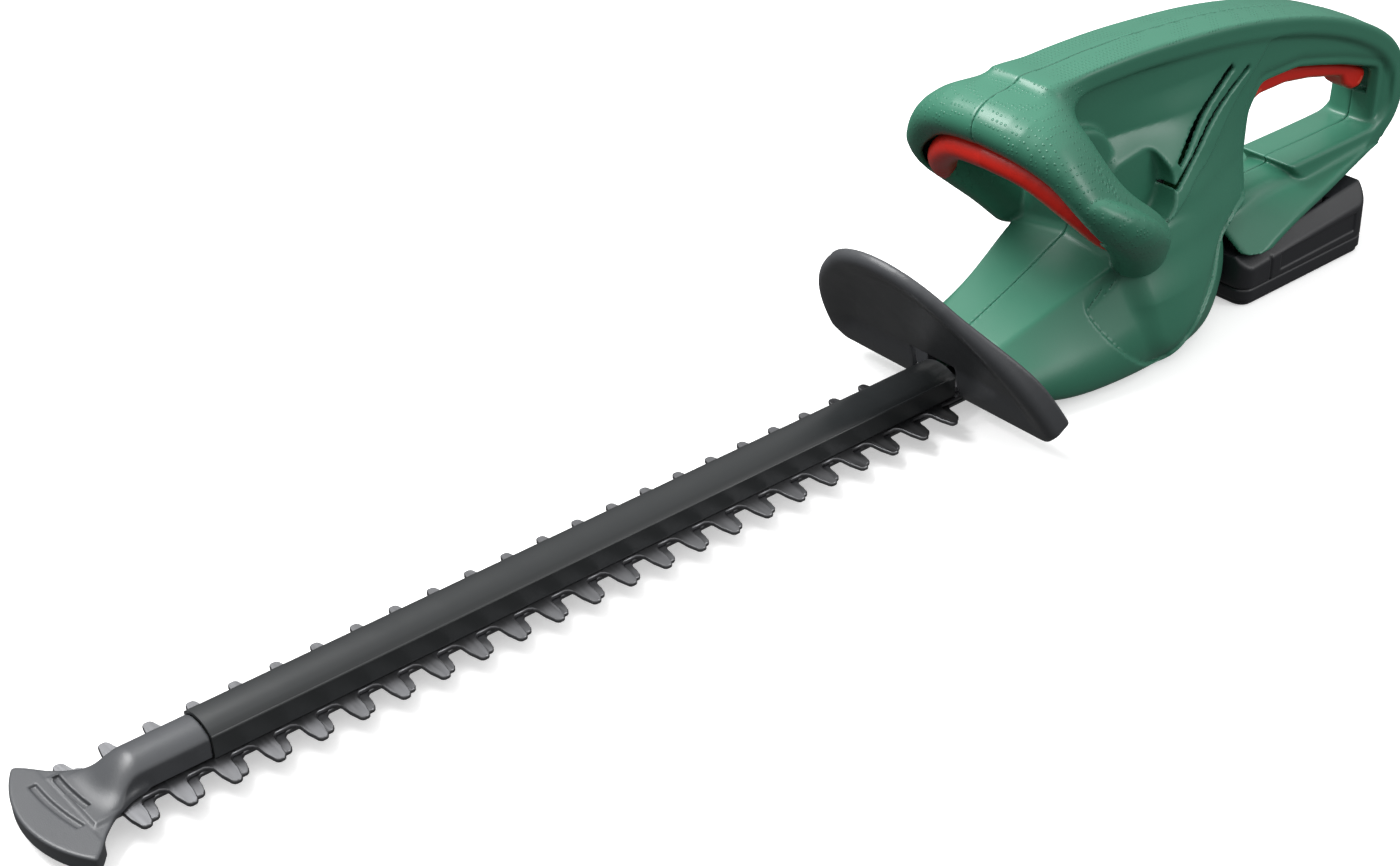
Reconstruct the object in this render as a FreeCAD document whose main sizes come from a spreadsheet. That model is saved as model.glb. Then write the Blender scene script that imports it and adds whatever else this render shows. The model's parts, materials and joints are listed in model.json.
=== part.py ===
import FreeCAD, Part
import math
import os
import Sketcher

# Battery hedge trimmer.  Millimetres.  +X runs from the blade tip back to the rear handle, +Z is up,
# -Y is the tool's left side.  Z = 0 is the surface that the belly, the battery and the guard rest on,
# and X = 0, Y = 0 is the middle of the tool's length and width.
# A "station" below is a distance back from the front edge of the tip guard.

Vec = FreeCAD.Vector
os.makedirs("parts", exist_ok=True)
doc = FreeCAD.newDocument("HedgeTrimmer")

# ---------------------------------------------------------------- driving dimensions

SIZES = [
    ("overall_length", 840, "tip guard front edge to the back of the rear handle"),
    ("tooth_pitch", 20, "distance from one tooth to the next"),
    ("tooth_count", 23, "teeth on each side of a blade"),
    ("first_tooth", 40, "station of the first tooth on the left side"),
    ("side_stagger", 10, "how far forward the right side's teeth sit"),
    ("tooth_reach", 29, "centre line to tip, upper blade"),
    ("lower_reach", 24.5, "centre line to tip, lower blade"),
    ("tooth_root", 12.6, "centre line to the root of a tooth"),
    ("root_half", 7.75, "half the width of a tooth at its root"),
    ("waist_half", 3.9, "half the width of a tooth half way out"),
    ("tip_half", 2.7, "half the width of an upper tooth at its tip"),
    ("lower_tip_half", 3.1, "half the width of a lower tooth at its tip"),
    ("blade_front", 29, "station of the front end of the blades"),
    ("strip_half", 13, "half the width of a blade's strip"),
    ("blade_thick", 2.1, "thickness of one blade"),
    ("blade_gap", 0.1, "sliding gap on each face of a blade"),
    ("blade_top", 11, "height of the upper blade's top face"),
    ("stroke_half", 5, "throw of each eccentric: half a blade's stroke"),
    ("rest_shift", 2.5, "how far each blade sits from mid stroke at rest"),
    ("guide_count", 5, "guide screws along the blade"),
    ("guide_first", 90, "station of the first guide screw"),
    ("guide_pitch", 96, "distance between guide screws"),
    ("bush_radius", 3.4, "guide bush in the blades' slots"),
    ("slot_half", 3.6, "half the width of a guide slot"),
    ("screw_radius", 2, "guide screw"),
    ("bar_half", 8.6, "half the width of the guide bar"),
    ("bar_thick", 3, "thickness of the guide bar"),
    ("bar_front", 52, "station of the bar's front end"),
    ("bar_back", 560, "station of the bar's rear end"),
    ("cover_half", 11.4, "half the width of the blade cover"),
    ("cover_wall", 1.8, "wall of the blade cover"),
    ("cover_shoulder", 22, "height where the cover's side walls end"),
    ("cover_crown", 26, "top of the cover"),
    ("cover_front", 77, "station of the cover's front end"),
    ("cover_back", 486, "station of the cover's rear end"),
    ("neck_half", 10.6, "half the width of the tip guard's neck"),
    ("fan_half", 36.5, "half the width of the tip guard's fan"),
    ("fan_corner", 12, "station of the fan's corners"),
    ("fan_low", 5.5, "underside of the fan"),
    ("fan_high", 13.5, "top of the fan's flat"),
    ("guard_station", 497, "station of the hand guard's foot"),
    ("guard_lean", 30, "degrees the hand guard leans forward"),
    ("guard_half", 79, "half the width of the hand guard"),
    ("guard_height", 99, "height of the hand guard along its slope"),
    ("guard_depth", 13, "depth of the hand guard's rolled rim"),
    ("guard_wall", 3, "wall of the hand guard"),
    ("gear_station", 592, "station of the drive gear's axis"),
    ("gear_teeth", 60, "teeth of the drive gear"),
    ("pinion_teeth", 12, "teeth of the motor pinion"),
    ("gear_module", 0.9, "tooth size of the gear pair"),
    ("gear_low", 14, "underside of the drive gear"),
    ("gear_thick", 6, "thickness of the drive gear"),
    ("eccentric_radius", 9.5, "eccentric disc"),
    ("gear_shaft_radius", 4, "drive gear shaft"),
    ("case_floor", 11.4, "underside of the gear case"),
    ("case_top", 24, "top of the gear case"),
    ("motor_radius", 20.5, "motor can"),
    ("motor_low", 24.2, "underside of the motor can"),
    ("motor_high", 84, "top of the motor can"),
    ("motor_shaft_radius", 2, "motor shaft"),
    ("shell_wall", 2.6, "wall of the plastic shells"),
    ("belly_half", 56, "half the width of the belly"),
    ("spine_half", 18, "half the width of the spine and rear handle"),
    ("tower_half", 34, "half the width of the motor tower"),
    ("finger_half", 25, "half the width of the tower between the finger pockets"),
    ("lever_radius", 6.5, "front switch lever"),
    ("lever_squeeze", 6, "degrees the front switch lever turns"),
    ("trigger_half", 8, "half the width of the rear trigger"),
    ("battery_front", 684, "station of the battery's front face"),
    ("battery_back", 789, "station of the battery's rear face"),
    ("battery_half", 38, "half the width of the battery"),
    ("battery_split", 10, "height of the seam between the battery's two shells"),
    ("rail_half", 24, "half the width of the battery's rail block"),
    ("rail_high", 33.6, "top of the battery's rail block"),
    ("cell_radius", 9, "battery cell"),
    ("cell_length", 65, "battery cell"),
    ("pin_radius", 2.5, "pivot pins of the lever and the trigger"),
    ("running_gap", 0.05, "radial clearance of a running fit"),
]
sheet = doc.addObject("Spreadsheet::Sheet", "Size")
for row, (alias, value, note) in enumerate(SIZES, start=1):
    sheet.set("A%d" % row, alias)
    sheet.set("B%d" % row, str(value))
    sheet.set("C%d" % row, note)
    sheet.setAlias("B%d" % row, alias)
doc.recompute()


class Dim:
    """A length or angle that carries its number and the sheet expression that it stands for."""

    def __init__(self, number, text):
        self.number = float(number)
        self.text = text

    def join(self, other, sign, number, swapped=False):
        mine, theirs = self.text, text_of(other)
        if swapped:
            mine, theirs = theirs, mine
        return Dim(number, "(%s %s %s)" % (mine, sign, theirs))

    def __add__(self, other):
        return self.join(other, "+", self.number + number_of(other))

    def __radd__(self, other):
        return self.join(other, "+", number_of(other) + self.number, swapped=True)

    def __sub__(self, other):
        return self.join(other, "-", self.number - number_of(other))

    def __rsub__(self, other):
        return self.join(other, "-", number_of(other) - self.number, swapped=True)

    def __mul__(self, other):
        return self.join(other, "*", self.number * number_of(other))

    def __rmul__(self, other):
        return self.join(other, "*", number_of(other) * self.number, swapped=True)

    def __truediv__(self, other):
        return self.join(other, "/", self.number / number_of(other))

    def __neg__(self):
        return Dim(-self.number, "(0 - %s)" % self.text)


def number_of(value):
    """The plain number of a Dim or of a number."""
    return value.number if isinstance(value, Dim) else float(value)


def text_of(value):
    """The expression text of a Dim or of a number."""
    return value.text if isinstance(value, Dim) else "%.6g" % value


class Sizes:
    """Each driving dimension as an attribute."""


of = Sizes()
for alias, value, note in SIZES:
    setattr(of, alias, Dim(value, "Size." + alias))


def at(station):
    """The X coordinate of a station."""
    return station - of.overall_length / 2


def bind(obj, prop, value):
    """Sets a property, and ties it to the sheet where the value comes from there."""
    if isinstance(value, Dim):
        obj.setExpression(prop, value.text)
    elif "." in prop:
        obj.setExpression(prop, text_of(value))
    else:
        setattr(obj, prop, number_of(value))


def size(alias):
    """The number in one cell of the sheet, for shapes that are worked out in code."""
    return float(sheet.get(alias))


NODES = []


def node(obj, name):
    """Keeps an object as one of the tool's pieces, under its own name."""
    obj.Label = name
    NODES.append(obj)
    return obj


# ---------------------------------------------------------------- helpers: sketches and features

def origin_plane(body, role):
    """One of a body's own origin planes or axes."""
    for feature in body.Origin.OriginFeatures:
        if feature.Role == role:
            return feature
    raise ValueError(role)


def new_body(name):
    return doc.addObject("PartDesign::Body", name + "_body")


def new_sketch(body, plane, offset=0):
    """An empty sketch on a body's plane, lifted off it by an offset along the plane's normal."""
    sketch = body.newObject("Sketcher::SketchObject", body.Name + "_sketch")
    sketch.AttachmentSupport = [(origin_plane(body, plane), "")]
    sketch.MapMode = "FlatFace"
    bind(sketch, "AttachmentOffset.Base.z", offset)
    return sketch


def fix_point(sketch, element, end, x, y):
    """Places one end of a sketch element at (x, y), tied to the sheet."""
    for kind, value in (("DistanceX", x), ("DistanceY", y)):
        index = sketch.addConstraint(Sketcher.Constraint(kind, -1, 1, element, end, number_of(value)))
        if isinstance(value, Dim):
            sketch.setExpression("Constraints[%d]" % index, value.text)


def arc_through(start, stop, radius, side):
    """An arc of a given radius from start to stop; side is +1 to bulge left of the way there, -1 right."""
    chord = stop - start
    half = chord.Length / 2
    rise = math.sqrt(max(radius ** 2 - half ** 2, 0))
    left = Vec(-chord.y, chord.x, 0).normalize()
    centre = (start + stop) * 0.5 - left * (side * rise)
    crest = centre + left * (side * radius)
    return Part.Arc(start, crest, stop)


def draw_outline(sketch, corners):
    """Draws a closed outline.  A corner is (x, y), or (x, y, radius, side) where an arc leads to it."""
    count = len(corners)
    points = [Vec(number_of(c[0]), number_of(c[1]), 0) for c in corners]
    first = None
    for index in range(count):
        start, stop = points[index - 1], points[index]
        corner = corners[index]
        if len(corner) == 4:
            curve = arc_through(start, stop, number_of(corner[2]), corner[3])
        else:
            curve = Part.LineSegment(start, stop)
        element = sketch.addGeometry(curve, False)
        if first is None:
            first = element
        # A counter-clockwise arc starts where it is drawn from; a clockwise one is stored end first.
        if len(corner) == 4 and corner[3] > 0:
            fix_point(sketch, element, 1, corner[0], corner[1])
            fix_point(sketch, element, 2, corners[index - 1][0], corners[index - 1][1])
        else:
            fix_point(sketch, element, 2, corner[0], corner[1])
            fix_point(sketch, element, 1, corners[index - 1][0], corners[index - 1][1])
        if len(corner) == 4:
            ring = sketch.addConstraint(Sketcher.Constraint("Radius", element, number_of(corner[2])))
            if isinstance(corner[2], Dim):
                sketch.setExpression("Constraints[%d]" % ring, corner[2].text)


def draw_circle(sketch, x, y, radius):
    """Draws one circle whose centre and radius are tied to the sheet."""
    circle = Part.Circle(Vec(number_of(x), number_of(y), 0), Vec(0, 0, 1), number_of(radius))
    element = sketch.addGeometry(circle, False)
    fix_point(sketch, element, 3, x, y)
    index = sketch.addConstraint(Sketcher.Constraint("Radius", element, number_of(radius)))
    if isinstance(radius, Dim):
        sketch.setExpression("Constraints[%d]" % index, radius.text)


def add_pad(body, sketch, length, midplane=False, reverse=False):
    pad = body.newObject("PartDesign::Pad", body.Name + "_pad")
    pad.Profile = sketch
    bind(pad, "Length", length)
    pad.Midplane = midplane
    pad.Reversed = reverse
    return pad


def add_pocket(body, sketch, length, midplane=False, reverse=False):
    pocket = body.newObject("PartDesign::Pocket", body.Name + "_pocket")
    pocket.Profile = sketch
    bind(pocket, "Length", length)
    pocket.Midplane = midplane
    pocket.Reversed = reverse
    return pocket


def add_row(body, feature, sketch, pitch, count):
    """Repeats a feature along the sketch's horizontal axis."""
    row = body.newObject("PartDesign::LinearPattern", body.Name + "_row")
    row.Originals = [feature]
    row.Direction = (sketch, ["H_Axis"])
    bind(row, "Length", pitch * (count - 1))
    bind(row, "Occurrences", count)
    body.Tip = row
    return row


def rectangle(x_low, x_high, y_low, y_high):
    return [(x_low, y_low), (x_high, y_low), (x_high, y_high), (x_low, y_high)]


def slot(x, half_length, half_width):
    """A slot with round ends, along X, centred at (x, 0)."""
    straight = half_length - half_width
    return [
        (x - straight, -half_width, half_width * 1.0001, -1),
        (x + straight, -half_width),
        (x + straight, half_width, half_width * 1.0001, -1),
        (x - straight, half_width),
    ]


# ---------------------------------------------------------------- helpers: primitives and booleans

def cylinder(name, radius, length, x, y, z, axis="Z"):
    """A cylinder whose base centre is (x, y, z), along +Z or another axis."""
    obj = doc.addObject("Part::Cylinder", name)
    bind(obj, "Radius", radius)
    bind(obj, "Height", length)
    place(obj, x, y, z)
    turns = {"X": (Vec(0, 1, 0), 90), "Y": (Vec(1, 0, 0), -90)}
    if axis in turns:
        obj.Placement.Rotation = FreeCAD.Rotation(*turns[axis])
    return obj


def box(name, x_low, x_high, y_low, y_high, z_low, z_high):
    obj = doc.addObject("Part::Box", name)
    bind(obj, "Length", x_high - x_low)
    bind(obj, "Width", y_high - y_low)
    bind(obj, "Height", z_high - z_low)
    place(obj, x_low, y_low, z_low)
    return obj


def place(obj, x, y, z):
    for letter, value in (("x", x), ("y", y), ("z", z)):
        bind(obj, "Placement.Base." + letter, value)


def fused(name, pieces):
    obj = doc.addObject("Part::MultiFuse", name)
    obj.Shapes = pieces
    return obj


def cut(name, base, tool):
    obj = doc.addObject("Part::Cut", name)
    obj.Base = base
    obj.Tool = tool
    return obj


def group(name, pieces):
    """Several identical solids that share one node."""
    obj = doc.addObject("Part::Compound", name)
    obj.Links = pieces
    return obj


def computed(name, shape):
    """A piece whose shape is worked out in code from the sheet's sizes."""
    obj = doc.addObject("Part::Feature", name)
    obj.Shape = shape
    return obj


# ---------------------------------------------------------------- cutting blades

def tooth(x, side, reach, tip_half):
    """A tooth's outline: wide root, hollow flanks and a round tip.  side is -1 left, +1 right."""
    root = of.tooth_root * side
    waist = (of.tooth_root * 0.45 + reach * 0.55) * side
    shoulder = (reach - tip_half) * side
    tip = reach * side
    back = [
        (x - of.root_half, root),
        (x + of.root_half, root),
        (x + of.waist_half, waist),
        (x + tip_half, shoulder),
        (x + tip_half * 0.5, tip),
        (x - tip_half * 0.5, tip),
        (x - tip_half, shoulder),
        (x - of.waist_half, waist),
    ]
    return back


def blade(name, low, reach, tip_half, shift):
    """One blade: a strip with a row of teeth on each side, guide slots and a yoke for its eccentric."""
    body = new_body(name)
    gear = at(of.gear_station) + shift
    yoke_length = of.eccentric_radius + of.stroke_half * 2 + 0.6
    yoke_width = of.eccentric_radius + of.stroke_half + 0.6
    frame = 6
    strip = new_sketch(body, "XY_Plane", low)
    draw_outline(strip, [
        (at(of.blade_front), -of.strip_half),
        (gear - yoke_length - frame, -of.strip_half),
        (gear - yoke_length, -yoke_width - frame),
        (gear + yoke_length + frame, -yoke_width - frame),
        (gear + yoke_length + frame, yoke_width + frame),
        (gear - yoke_length, yoke_width + frame),
        (gear - yoke_length - frame, of.strip_half),
        (at(of.blade_front), of.strip_half),
    ])
    add_pad(body, strip, of.blade_thick)
    for side, first in ((-1, of.first_tooth), (1, of.first_tooth - of.side_stagger)):
        sketch = new_sketch(body, "XY_Plane", low)
        draw_outline(sketch, tooth(at(first) + shift + of.rest_shift, side, reach, tip_half))
        add_row(body, add_pad(body, sketch, of.blade_thick), sketch, of.tooth_pitch, of.tooth_count)
    window = new_sketch(body, "XY_Plane", low)
    draw_outline(window, rectangle(gear - yoke_length, gear + yoke_length, -yoke_width, yoke_width))
    add_pocket(body, window, of.blade_thick, reverse=True)
    guide = new_sketch(body, "XY_Plane", low)
    half_length = of.slot_half + of.stroke_half + 0.4
    draw_outline(guide, slot(at(of.guide_first) + shift, half_length, of.slot_half))
    guide_slot = add_pocket(body, guide, of.blade_thick, reverse=True)
    add_row(body, guide_slot, guide, of.guide_pitch, of.guide_count)
    return node(body, name)


upper_low = of.blade_top - of.blade_thick
lower_low = upper_low - of.blade_gap - of.blade_thick
blade("upper_blade", upper_low, of.tooth_reach, of.tip_half, -of.rest_shift)
blade("lower_blade", lower_low, of.lower_reach, of.lower_tip_half, of.rest_shift)


# ---------------------------------------------------------------- guide bar, cover and their screws

bar_low = of.blade_top + of.blade_gap


def guide_stations():
    return [of.guide_first + of.guide_pitch * index for index in range(int(of.guide_count.number))]


def guide_bar():
    """The flat steel bar that the blades slide under, drilled for the guide screws."""
    body = new_body("guide_bar")
    outline = new_sketch(body, "XY_Plane", bar_low)
    draw_outline(outline, [
        (at(of.bar_front), -of.bar_half * 0.6),
        (at(of.bar_front) + of.bar_half * 0.6, -of.bar_half),
        (at(of.bar_back), -of.bar_half),
        (at(of.bar_back), of.bar_half),
        (at(of.bar_front) + of.bar_half * 0.6, of.bar_half),
        (at(of.bar_front), of.bar_half * 0.6),
    ])
    add_pad(body, outline, of.bar_thick)
    hole = new_sketch(body, "XY_Plane", bar_low)
    draw_circle(hole, at(of.guide_first), 0, of.screw_radius)
    add_row(body, add_pocket(body, hole, of.bar_thick, reverse=True), hole, of.guide_pitch, of.guide_count)
    return node(body, "guide_bar")


def crown_radius(half, wall_top, crown):
    """The radius of a round crown that rises from the tops of two side walls."""
    rise = crown - wall_top
    radius = Dim((half.number ** 2 + rise.number ** 2) / (2 * rise.number),
                 "(%s ^ 2 + %s ^ 2) / (2 * %s)" % (half.text, rise.text, rise.text))
    return radius


def arch_channel(name, half, low, wall, shoulder, crown, front, back):
    """A long cover with upright sides and a round top, open underneath."""
    body = new_body(name)
    outer = new_sketch(body, "YZ_Plane", front)
    draw_outline(outer, [
        (-half, low),
        (half, low),
        (half, shoulder),
        (-half, shoulder, crown_radius(half, shoulder, crown), -1),
    ])
    add_pad(body, outer, back - front)
    inner = new_sketch(body, "YZ_Plane", front)
    draw_outline(inner, [
        (wall - half, low),
        (half - wall, low),
        (half - wall, shoulder),
        (wall - half, shoulder, crown_radius(half - wall, shoulder, crown - wall), -1),
    ])
    add_pocket(body, inner, back - front, reverse=True)
    return body


guide_bar()
cover = arch_channel("blade_cover", of.cover_half, bar_low + 0.2, of.cover_wall, of.cover_shoulder,
                     of.cover_crown, at(of.cover_front), at(of.cover_back))
node(cover, "blade_cover")


def guide_screw(x):
    """A screw from below, through a shouldered bush, into the guide bar."""
    shank = cylinder("guide_shank", of.screw_radius, bar_low + of.bar_thick - 4.5, x, 0, 4.5)
    head = cylinder("guide_head", 4.5, 2.4, x, 0, 3)
    return fused("guide_screw", [shank, head])


def guide_bush(x):
    """A bush that runs in the blades' slots, with a flange under the lower blade."""
    sleeve = cylinder("bush_sleeve", of.bush_radius, bar_low - 6, x, 0, 6)
    flange = cylinder("bush_flange", 6, 0.9, x, 0, 5.6)
    hole = cylinder("bush_hole", of.screw_radius, 20, x, 0, 0)
    return cut("guide_bush", fused("bush_outer", [sleeve, flange]), hole)


screw_places = [at(station) for station in guide_stations()]
node(group("guide_screws", [guide_screw(x) for x in screw_places]), "guide_screws")
node(group("guide_bushes", [guide_bush(x) for x in screw_places]), "guide_bushes")


# ---------------------------------------------------------------- tip guard and hand guard

def tip_guard():
    """The fan-shaped plastic nose, with a neck that carries on the blade cover."""
    plate = new_body("fan_plate")
    outline = new_sketch(plate, "XY_Plane", bar_low + 0.3)
    draw_outline(outline, fan_outline(at(44)))
    add_pad(plate, outline, of.fan_high - bar_low - 0.3)
    lip = new_body("fan_lip")
    edge = new_sketch(lip, "XY_Plane", of.fan_low)
    corners = fan_outline(at(19.3))
    draw_outline(edge, [corners[0][:2], corners[1], (at(19.3), 31), (at(19.3), -31)])
    add_pad(lip, edge, bar_low + 0.3 - of.fan_low)
    neck = arch_channel("fan_neck", of.neck_half, bar_low + 0.3, of.cover_wall, of.cover_shoulder - 1.2,
                        of.cover_crown - 1.2, at(40), at(of.cover_front) - 0.3)
    return node(fused("tip_guard", [plate, lip, neck]), "tip_guard")


def fan_outline(back):
    """The fan seen from above: a bowed front edge and hollow sides that run back to the neck."""
    sagitta = of.fan_corner
    bow = (of.fan_half.number ** 2 + sagitta.number ** 2) / (2 * sagitta.number)
    hollow = 60
    return [
        (at(of.fan_corner), -of.fan_half, hollow, 1),
        (at(of.fan_corner), of.fan_half, bow, 1),
        (back, of.neck_half, hollow, 1),
        (back, -of.neck_half),
    ]


def shield_outline(inset):
    """The hand guard's outline in its own plane, drawn in from the edge by an inset."""
    half = of.guard_half - inset
    top = of.guard_height - inset
    foot = 0 if inset == 0 else -1
    shoulder = half * 0.56
    return [
        (-half + 7, foot),
        (half - 7, foot),
        (half, 9),
        (shoulder, top - 18, 110, -1),
        (-shoulder, top - 18, half * 0.72, -1),
        (-half, 9, 110, -1),
    ]


def hand_guard():
    """The black shield in front of the bow handle, leaning forward, with a deep rolled rim."""
    body = new_body("hand_guard")
    outer = new_sketch(body, "YZ_Plane")
    draw_outline(outer, shield_outline(0))
    add_pad(body, outer, of.guard_depth)
    hollow = new_sketch(body, "YZ_Plane", of.guard_wall)
    draw_outline(hollow, shield_outline(of.guard_wall))
    add_pocket(body, hollow, of.guard_depth, reverse=True)
    gate = new_sketch(body, "YZ_Plane")
    draw_outline(gate, rectangle(-15, 15, -1, 24))
    add_pocket(body, gate, of.guard_depth, reverse=True)
    foot = new_sketch(body, "YZ_Plane", of.guard_wall)
    draw_outline(foot, rectangle(-of.guard_half, of.guard_half, -1, 4))
    add_pocket(body, foot, of.guard_depth, reverse=True)
    bind(body, "Placement.Base.x", at(of.guard_station))
    bind(body, "Placement.Base.z", 8)
    body.setExpression("Placement.Rotation.Angle", "-Size.guard_lean")
    body.setExpression("Placement.Rotation.Axis.y", "1")
    body.setExpression("Placement.Rotation.Axis.z", "0")
    return node(body, "hand_guard")


tip_guard()
hand_guard()


# ---------------------------------------------------------------- gears and eccentrics

def gear_shape(teeth, bore, low, thick, x, start_angle):
    """A straight-cut stub gear with true involute flanks; start_angle turns it into mesh."""
    module = size("gear_module")
    pressure = math.radians(25)
    pitch_radius = module * teeth / 2
    base_radius = pitch_radius * math.cos(pressure)
    tip_radius = pitch_radius + 0.8 * module
    root_radius = pitch_radius - 1.05 * module
    backlash = 0.14
    half_tooth = (math.pi * module / 2 - backlash) / (2 * pitch_radius)
    involute = math.tan(pressure) - pressure
    flank_start = max(base_radius, root_radius)

    def flank_angle(radius):
        """Half the tooth's angle at a radius."""
        slope = math.acos(min(base_radius / radius, 1))
        return half_tooth + involute - (math.tan(slope) - slope)

    def point(radius, angle):
        return Vec(radius * math.cos(angle), radius * math.sin(angle), 0)

    edges = []
    steps = 4
    radii = [flank_start + (tip_radius - flank_start) * index / steps for index in range(steps + 1)]
    for index in range(teeth):
        middle = 2 * math.pi * index / teeth + start_angle
        rising = [point(radius, middle - flank_angle(radius)) for radius in radii]
        falling = [point(radius, middle + flank_angle(radius)) for radius in reversed(radii)]
        root_in = point(root_radius, middle - flank_angle(flank_start))
        root_out = point(root_radius, middle + flank_angle(flank_start))
        next_in = point(root_radius, middle + 2 * math.pi / teeth - flank_angle(flank_start))
        edges.append(Part.makePolygon([root_in] + rising + falling + [root_out, next_in]))
    outline = Part.Wire([edge for wire in edges for edge in wire.Edges])
    blank = Part.Face(outline).extrude(Vec(0, 0, thick))
    hole = Part.makeCylinder(bore, thick * 3, Vec(0, 0, -thick))
    solid = blank.cut(hole)
    solid.translate(Vec(x, 0, low))
    return solid


gear_x = at(of.gear_station).number
centre_distance = size("gear_module") * (size("gear_teeth") + size("pinion_teeth")) / 2
motor_x = gear_x + centre_distance
motor_place = at(of.gear_station) + of.gear_module * (of.gear_teeth + of.pinion_teeth) / 2
gear_place = at(of.gear_station)


def gear_train():
    """The motor pinion and the drive gear, one tooth of the gear pointing into a gap of the pinion."""
    gear = gear_shape(int(size("gear_teeth")), size("gear_shaft_radius"), size("gear_low"),
                      size("gear_thick"), gear_x, 0)
    node(computed("drive_gear", gear), "drive_gear")
    half_gap = math.pi / size("pinion_teeth")
    pinion = gear_shape(int(size("pinion_teeth")), size("motor_shaft_radius"), size("gear_low") - 0.5,
                        size("gear_thick") + 1, motor_x, math.pi + half_gap)
    node(computed("motor_pinion", pinion), "motor_pinion")
    shaft = cylinder("gear_shaft", of.gear_shaft_radius, of.case_top - 3.6, gear_place, 0, 3.2)
    node(shaft, "gear_shaft")
    node(eccentric("upper_eccentric", upper_low + 0.1, -1), "upper_eccentric")
    node(eccentric("lower_eccentric", lower_low + 0.1, 1), "lower_eccentric")


def eccentric(name, low, side):
    """A round disc set off the shaft's axis; the two discs face opposite ways."""
    throw = of.stroke_half
    along = of.rest_shift * side
    across = Dim(math.sqrt(throw.number ** 2 - of.rest_shift.number ** 2),
                 "sqrt(%s ^ 2 - %s ^ 2)" % (throw.text, of.rest_shift.text)) * -side
    disc = cylinder(name + "_disc", of.eccentric_radius, of.blade_thick - 0.2,
                    gear_place + along, across, low)
    hole = cylinder(name + "_hole", of.gear_shaft_radius, of.blade_thick, gear_place, 0, low - 0.1)
    return cut(name, disc, hole)


# ---------------------------------------------------------------- gear case

case_front = at(562)
case_back = motor_place + 24
case_half = 31


def gear_case():
    """The metal cup around the gears, its lid that carries the motor, and the plate under the blades."""
    outer = box("case_outer", case_front, case_back, -case_half, case_half, of.case_floor, 21.4)
    wheel = cylinder("case_wheel", of.gear_module * of.gear_teeth / 2 + 1.6, 12, gear_place, 0, 13.2)
    well = cylinder("case_well", of.gear_module * of.pinion_teeth / 2 + 2.2, 12, motor_place, 0, 13)
    bearing = cylinder("case_bearing", of.gear_shaft_radius + of.running_gap, 12, gear_place, 0, 10)
    posts = screw_posts("case_post_hole", 1.6, 0, 30)
    node(cut("gear_case", outer, fused("case_hollow", [wheel, well, bearing] + posts)), "gear_case")

    lid = box("lid_outer", case_front, case_back, -case_half, case_half, 21.5, of.case_top)
    top_bearing = cylinder("lid_bearing", of.gear_shaft_radius + of.running_gap, 6, gear_place, 0, 20)
    shaft_hole = cylinder("lid_shaft_hole", 5.5, 8, motor_place, 0, 19)
    lid_posts = screw_posts("lid_post_hole", 1.6, 0, 30)
    node(cut("motor_plate", lid, fused("lid_hollow", [top_bearing, shaft_hole] + lid_posts)), "motor_plate")

    plate = box("plate_outer", case_front, case_back, -case_half, case_half, 2.9, 4.6)
    low_bearing = cylinder("plate_bearing", of.gear_shaft_radius + of.running_gap, 8, gear_place, 0, 0)
    plate_posts = screw_posts("plate_post_hole", 1.6, 0, 30)
    node(cut("bottom_plate", plate, fused("plate_hollow", [low_bearing] + plate_posts)), "bottom_plate")

    spacers = screw_posts("case_spacer", 3.2, 4.6, of.case_floor)
    holes = screw_posts("spacer_hole", 1.6, 0, 30)
    tubes = [cut("spacer_tube", spacer, hole) for spacer, hole in zip(spacers, holes)]
    node(group("case_spacers", tubes), "case_spacers")
    shanks = screw_posts("case_shank", 1.6, 2.9, of.case_top)
    heads = screw_posts("case_head", 3, of.case_top, of.case_top + 1.8)
    screws = [fused("case_screw", [shank, head]) for shank, head in zip(shanks, heads)]
    node(group("case_screws", screws), "case_screws")


def screw_posts(name, radius, low, high):
    """Four upright cylinders at the corners of the gear case."""
    posts = []
    for x in (case_front + 4, case_back - 4):
        for y in (4.2 - case_half, case_half - 4.2):
            posts.append(cylinder(name, radius, high - low, x, y, low))
    return posts


# ---------------------------------------------------------------- motor

def motor():
    """A can motor that stands on the gear case: can, magnets, end bell, bushes and brushes."""
    can = cylinder("can_outer", of.motor_radius, of.motor_high - of.motor_low, motor_place, 0, of.motor_low)
    bore = cylinder("can_bore", of.motor_radius - 1.2, of.motor_high, motor_place, 0, of.motor_low + 1.5)
    eye = cylinder("can_eye", 5, 10, motor_place, 0, of.motor_low - 2)
    node(cut("motor_can", can, fused("can_hollow", [bore, eye])), "motor_can")

    bell = cylinder("bell_outer", of.motor_radius, 4, motor_place, 0, of.motor_high)
    bell_eye = cylinder("bell_eye", 5, 10, motor_place, 0, of.motor_high - 2)
    node(cut("motor_end_bell", bell, bell_eye), "motor_end_bell")

    bushes = []
    for low in (of.motor_low, of.motor_high):
        ring = cylinder("bush_ring", 5, 4, motor_place, 0, low)
        hole = cylinder("bush_bore", of.motor_shaft_radius + of.running_gap, 6, motor_place, 0, low - 1)
        bushes.append(cut("motor_bush", ring, hole))
    node(group("motor_bushes", bushes), "motor_bushes")

    ring = cylinder("magnet_ring", of.motor_radius - 1.2, 38, motor_place, 0, 32)
    inner = cylinder("magnet_bore", 15, 40, motor_place, 0, 31)
    gap = box("magnet_gap", motor_place - 5, motor_place + 5, -25, 25, 31, 71)
    node(cut("motor_magnets", ring, fused("magnet_hollow", [inner, gap])), "motor_magnets")

    brushes = [box("brush", motor_place - 2.5, motor_place + 2.5, low, low + 10, 73, 78)
               for low in (-16.8, 6.8)]
    node(group("motor_brushes", brushes), "motor_brushes")


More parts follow.
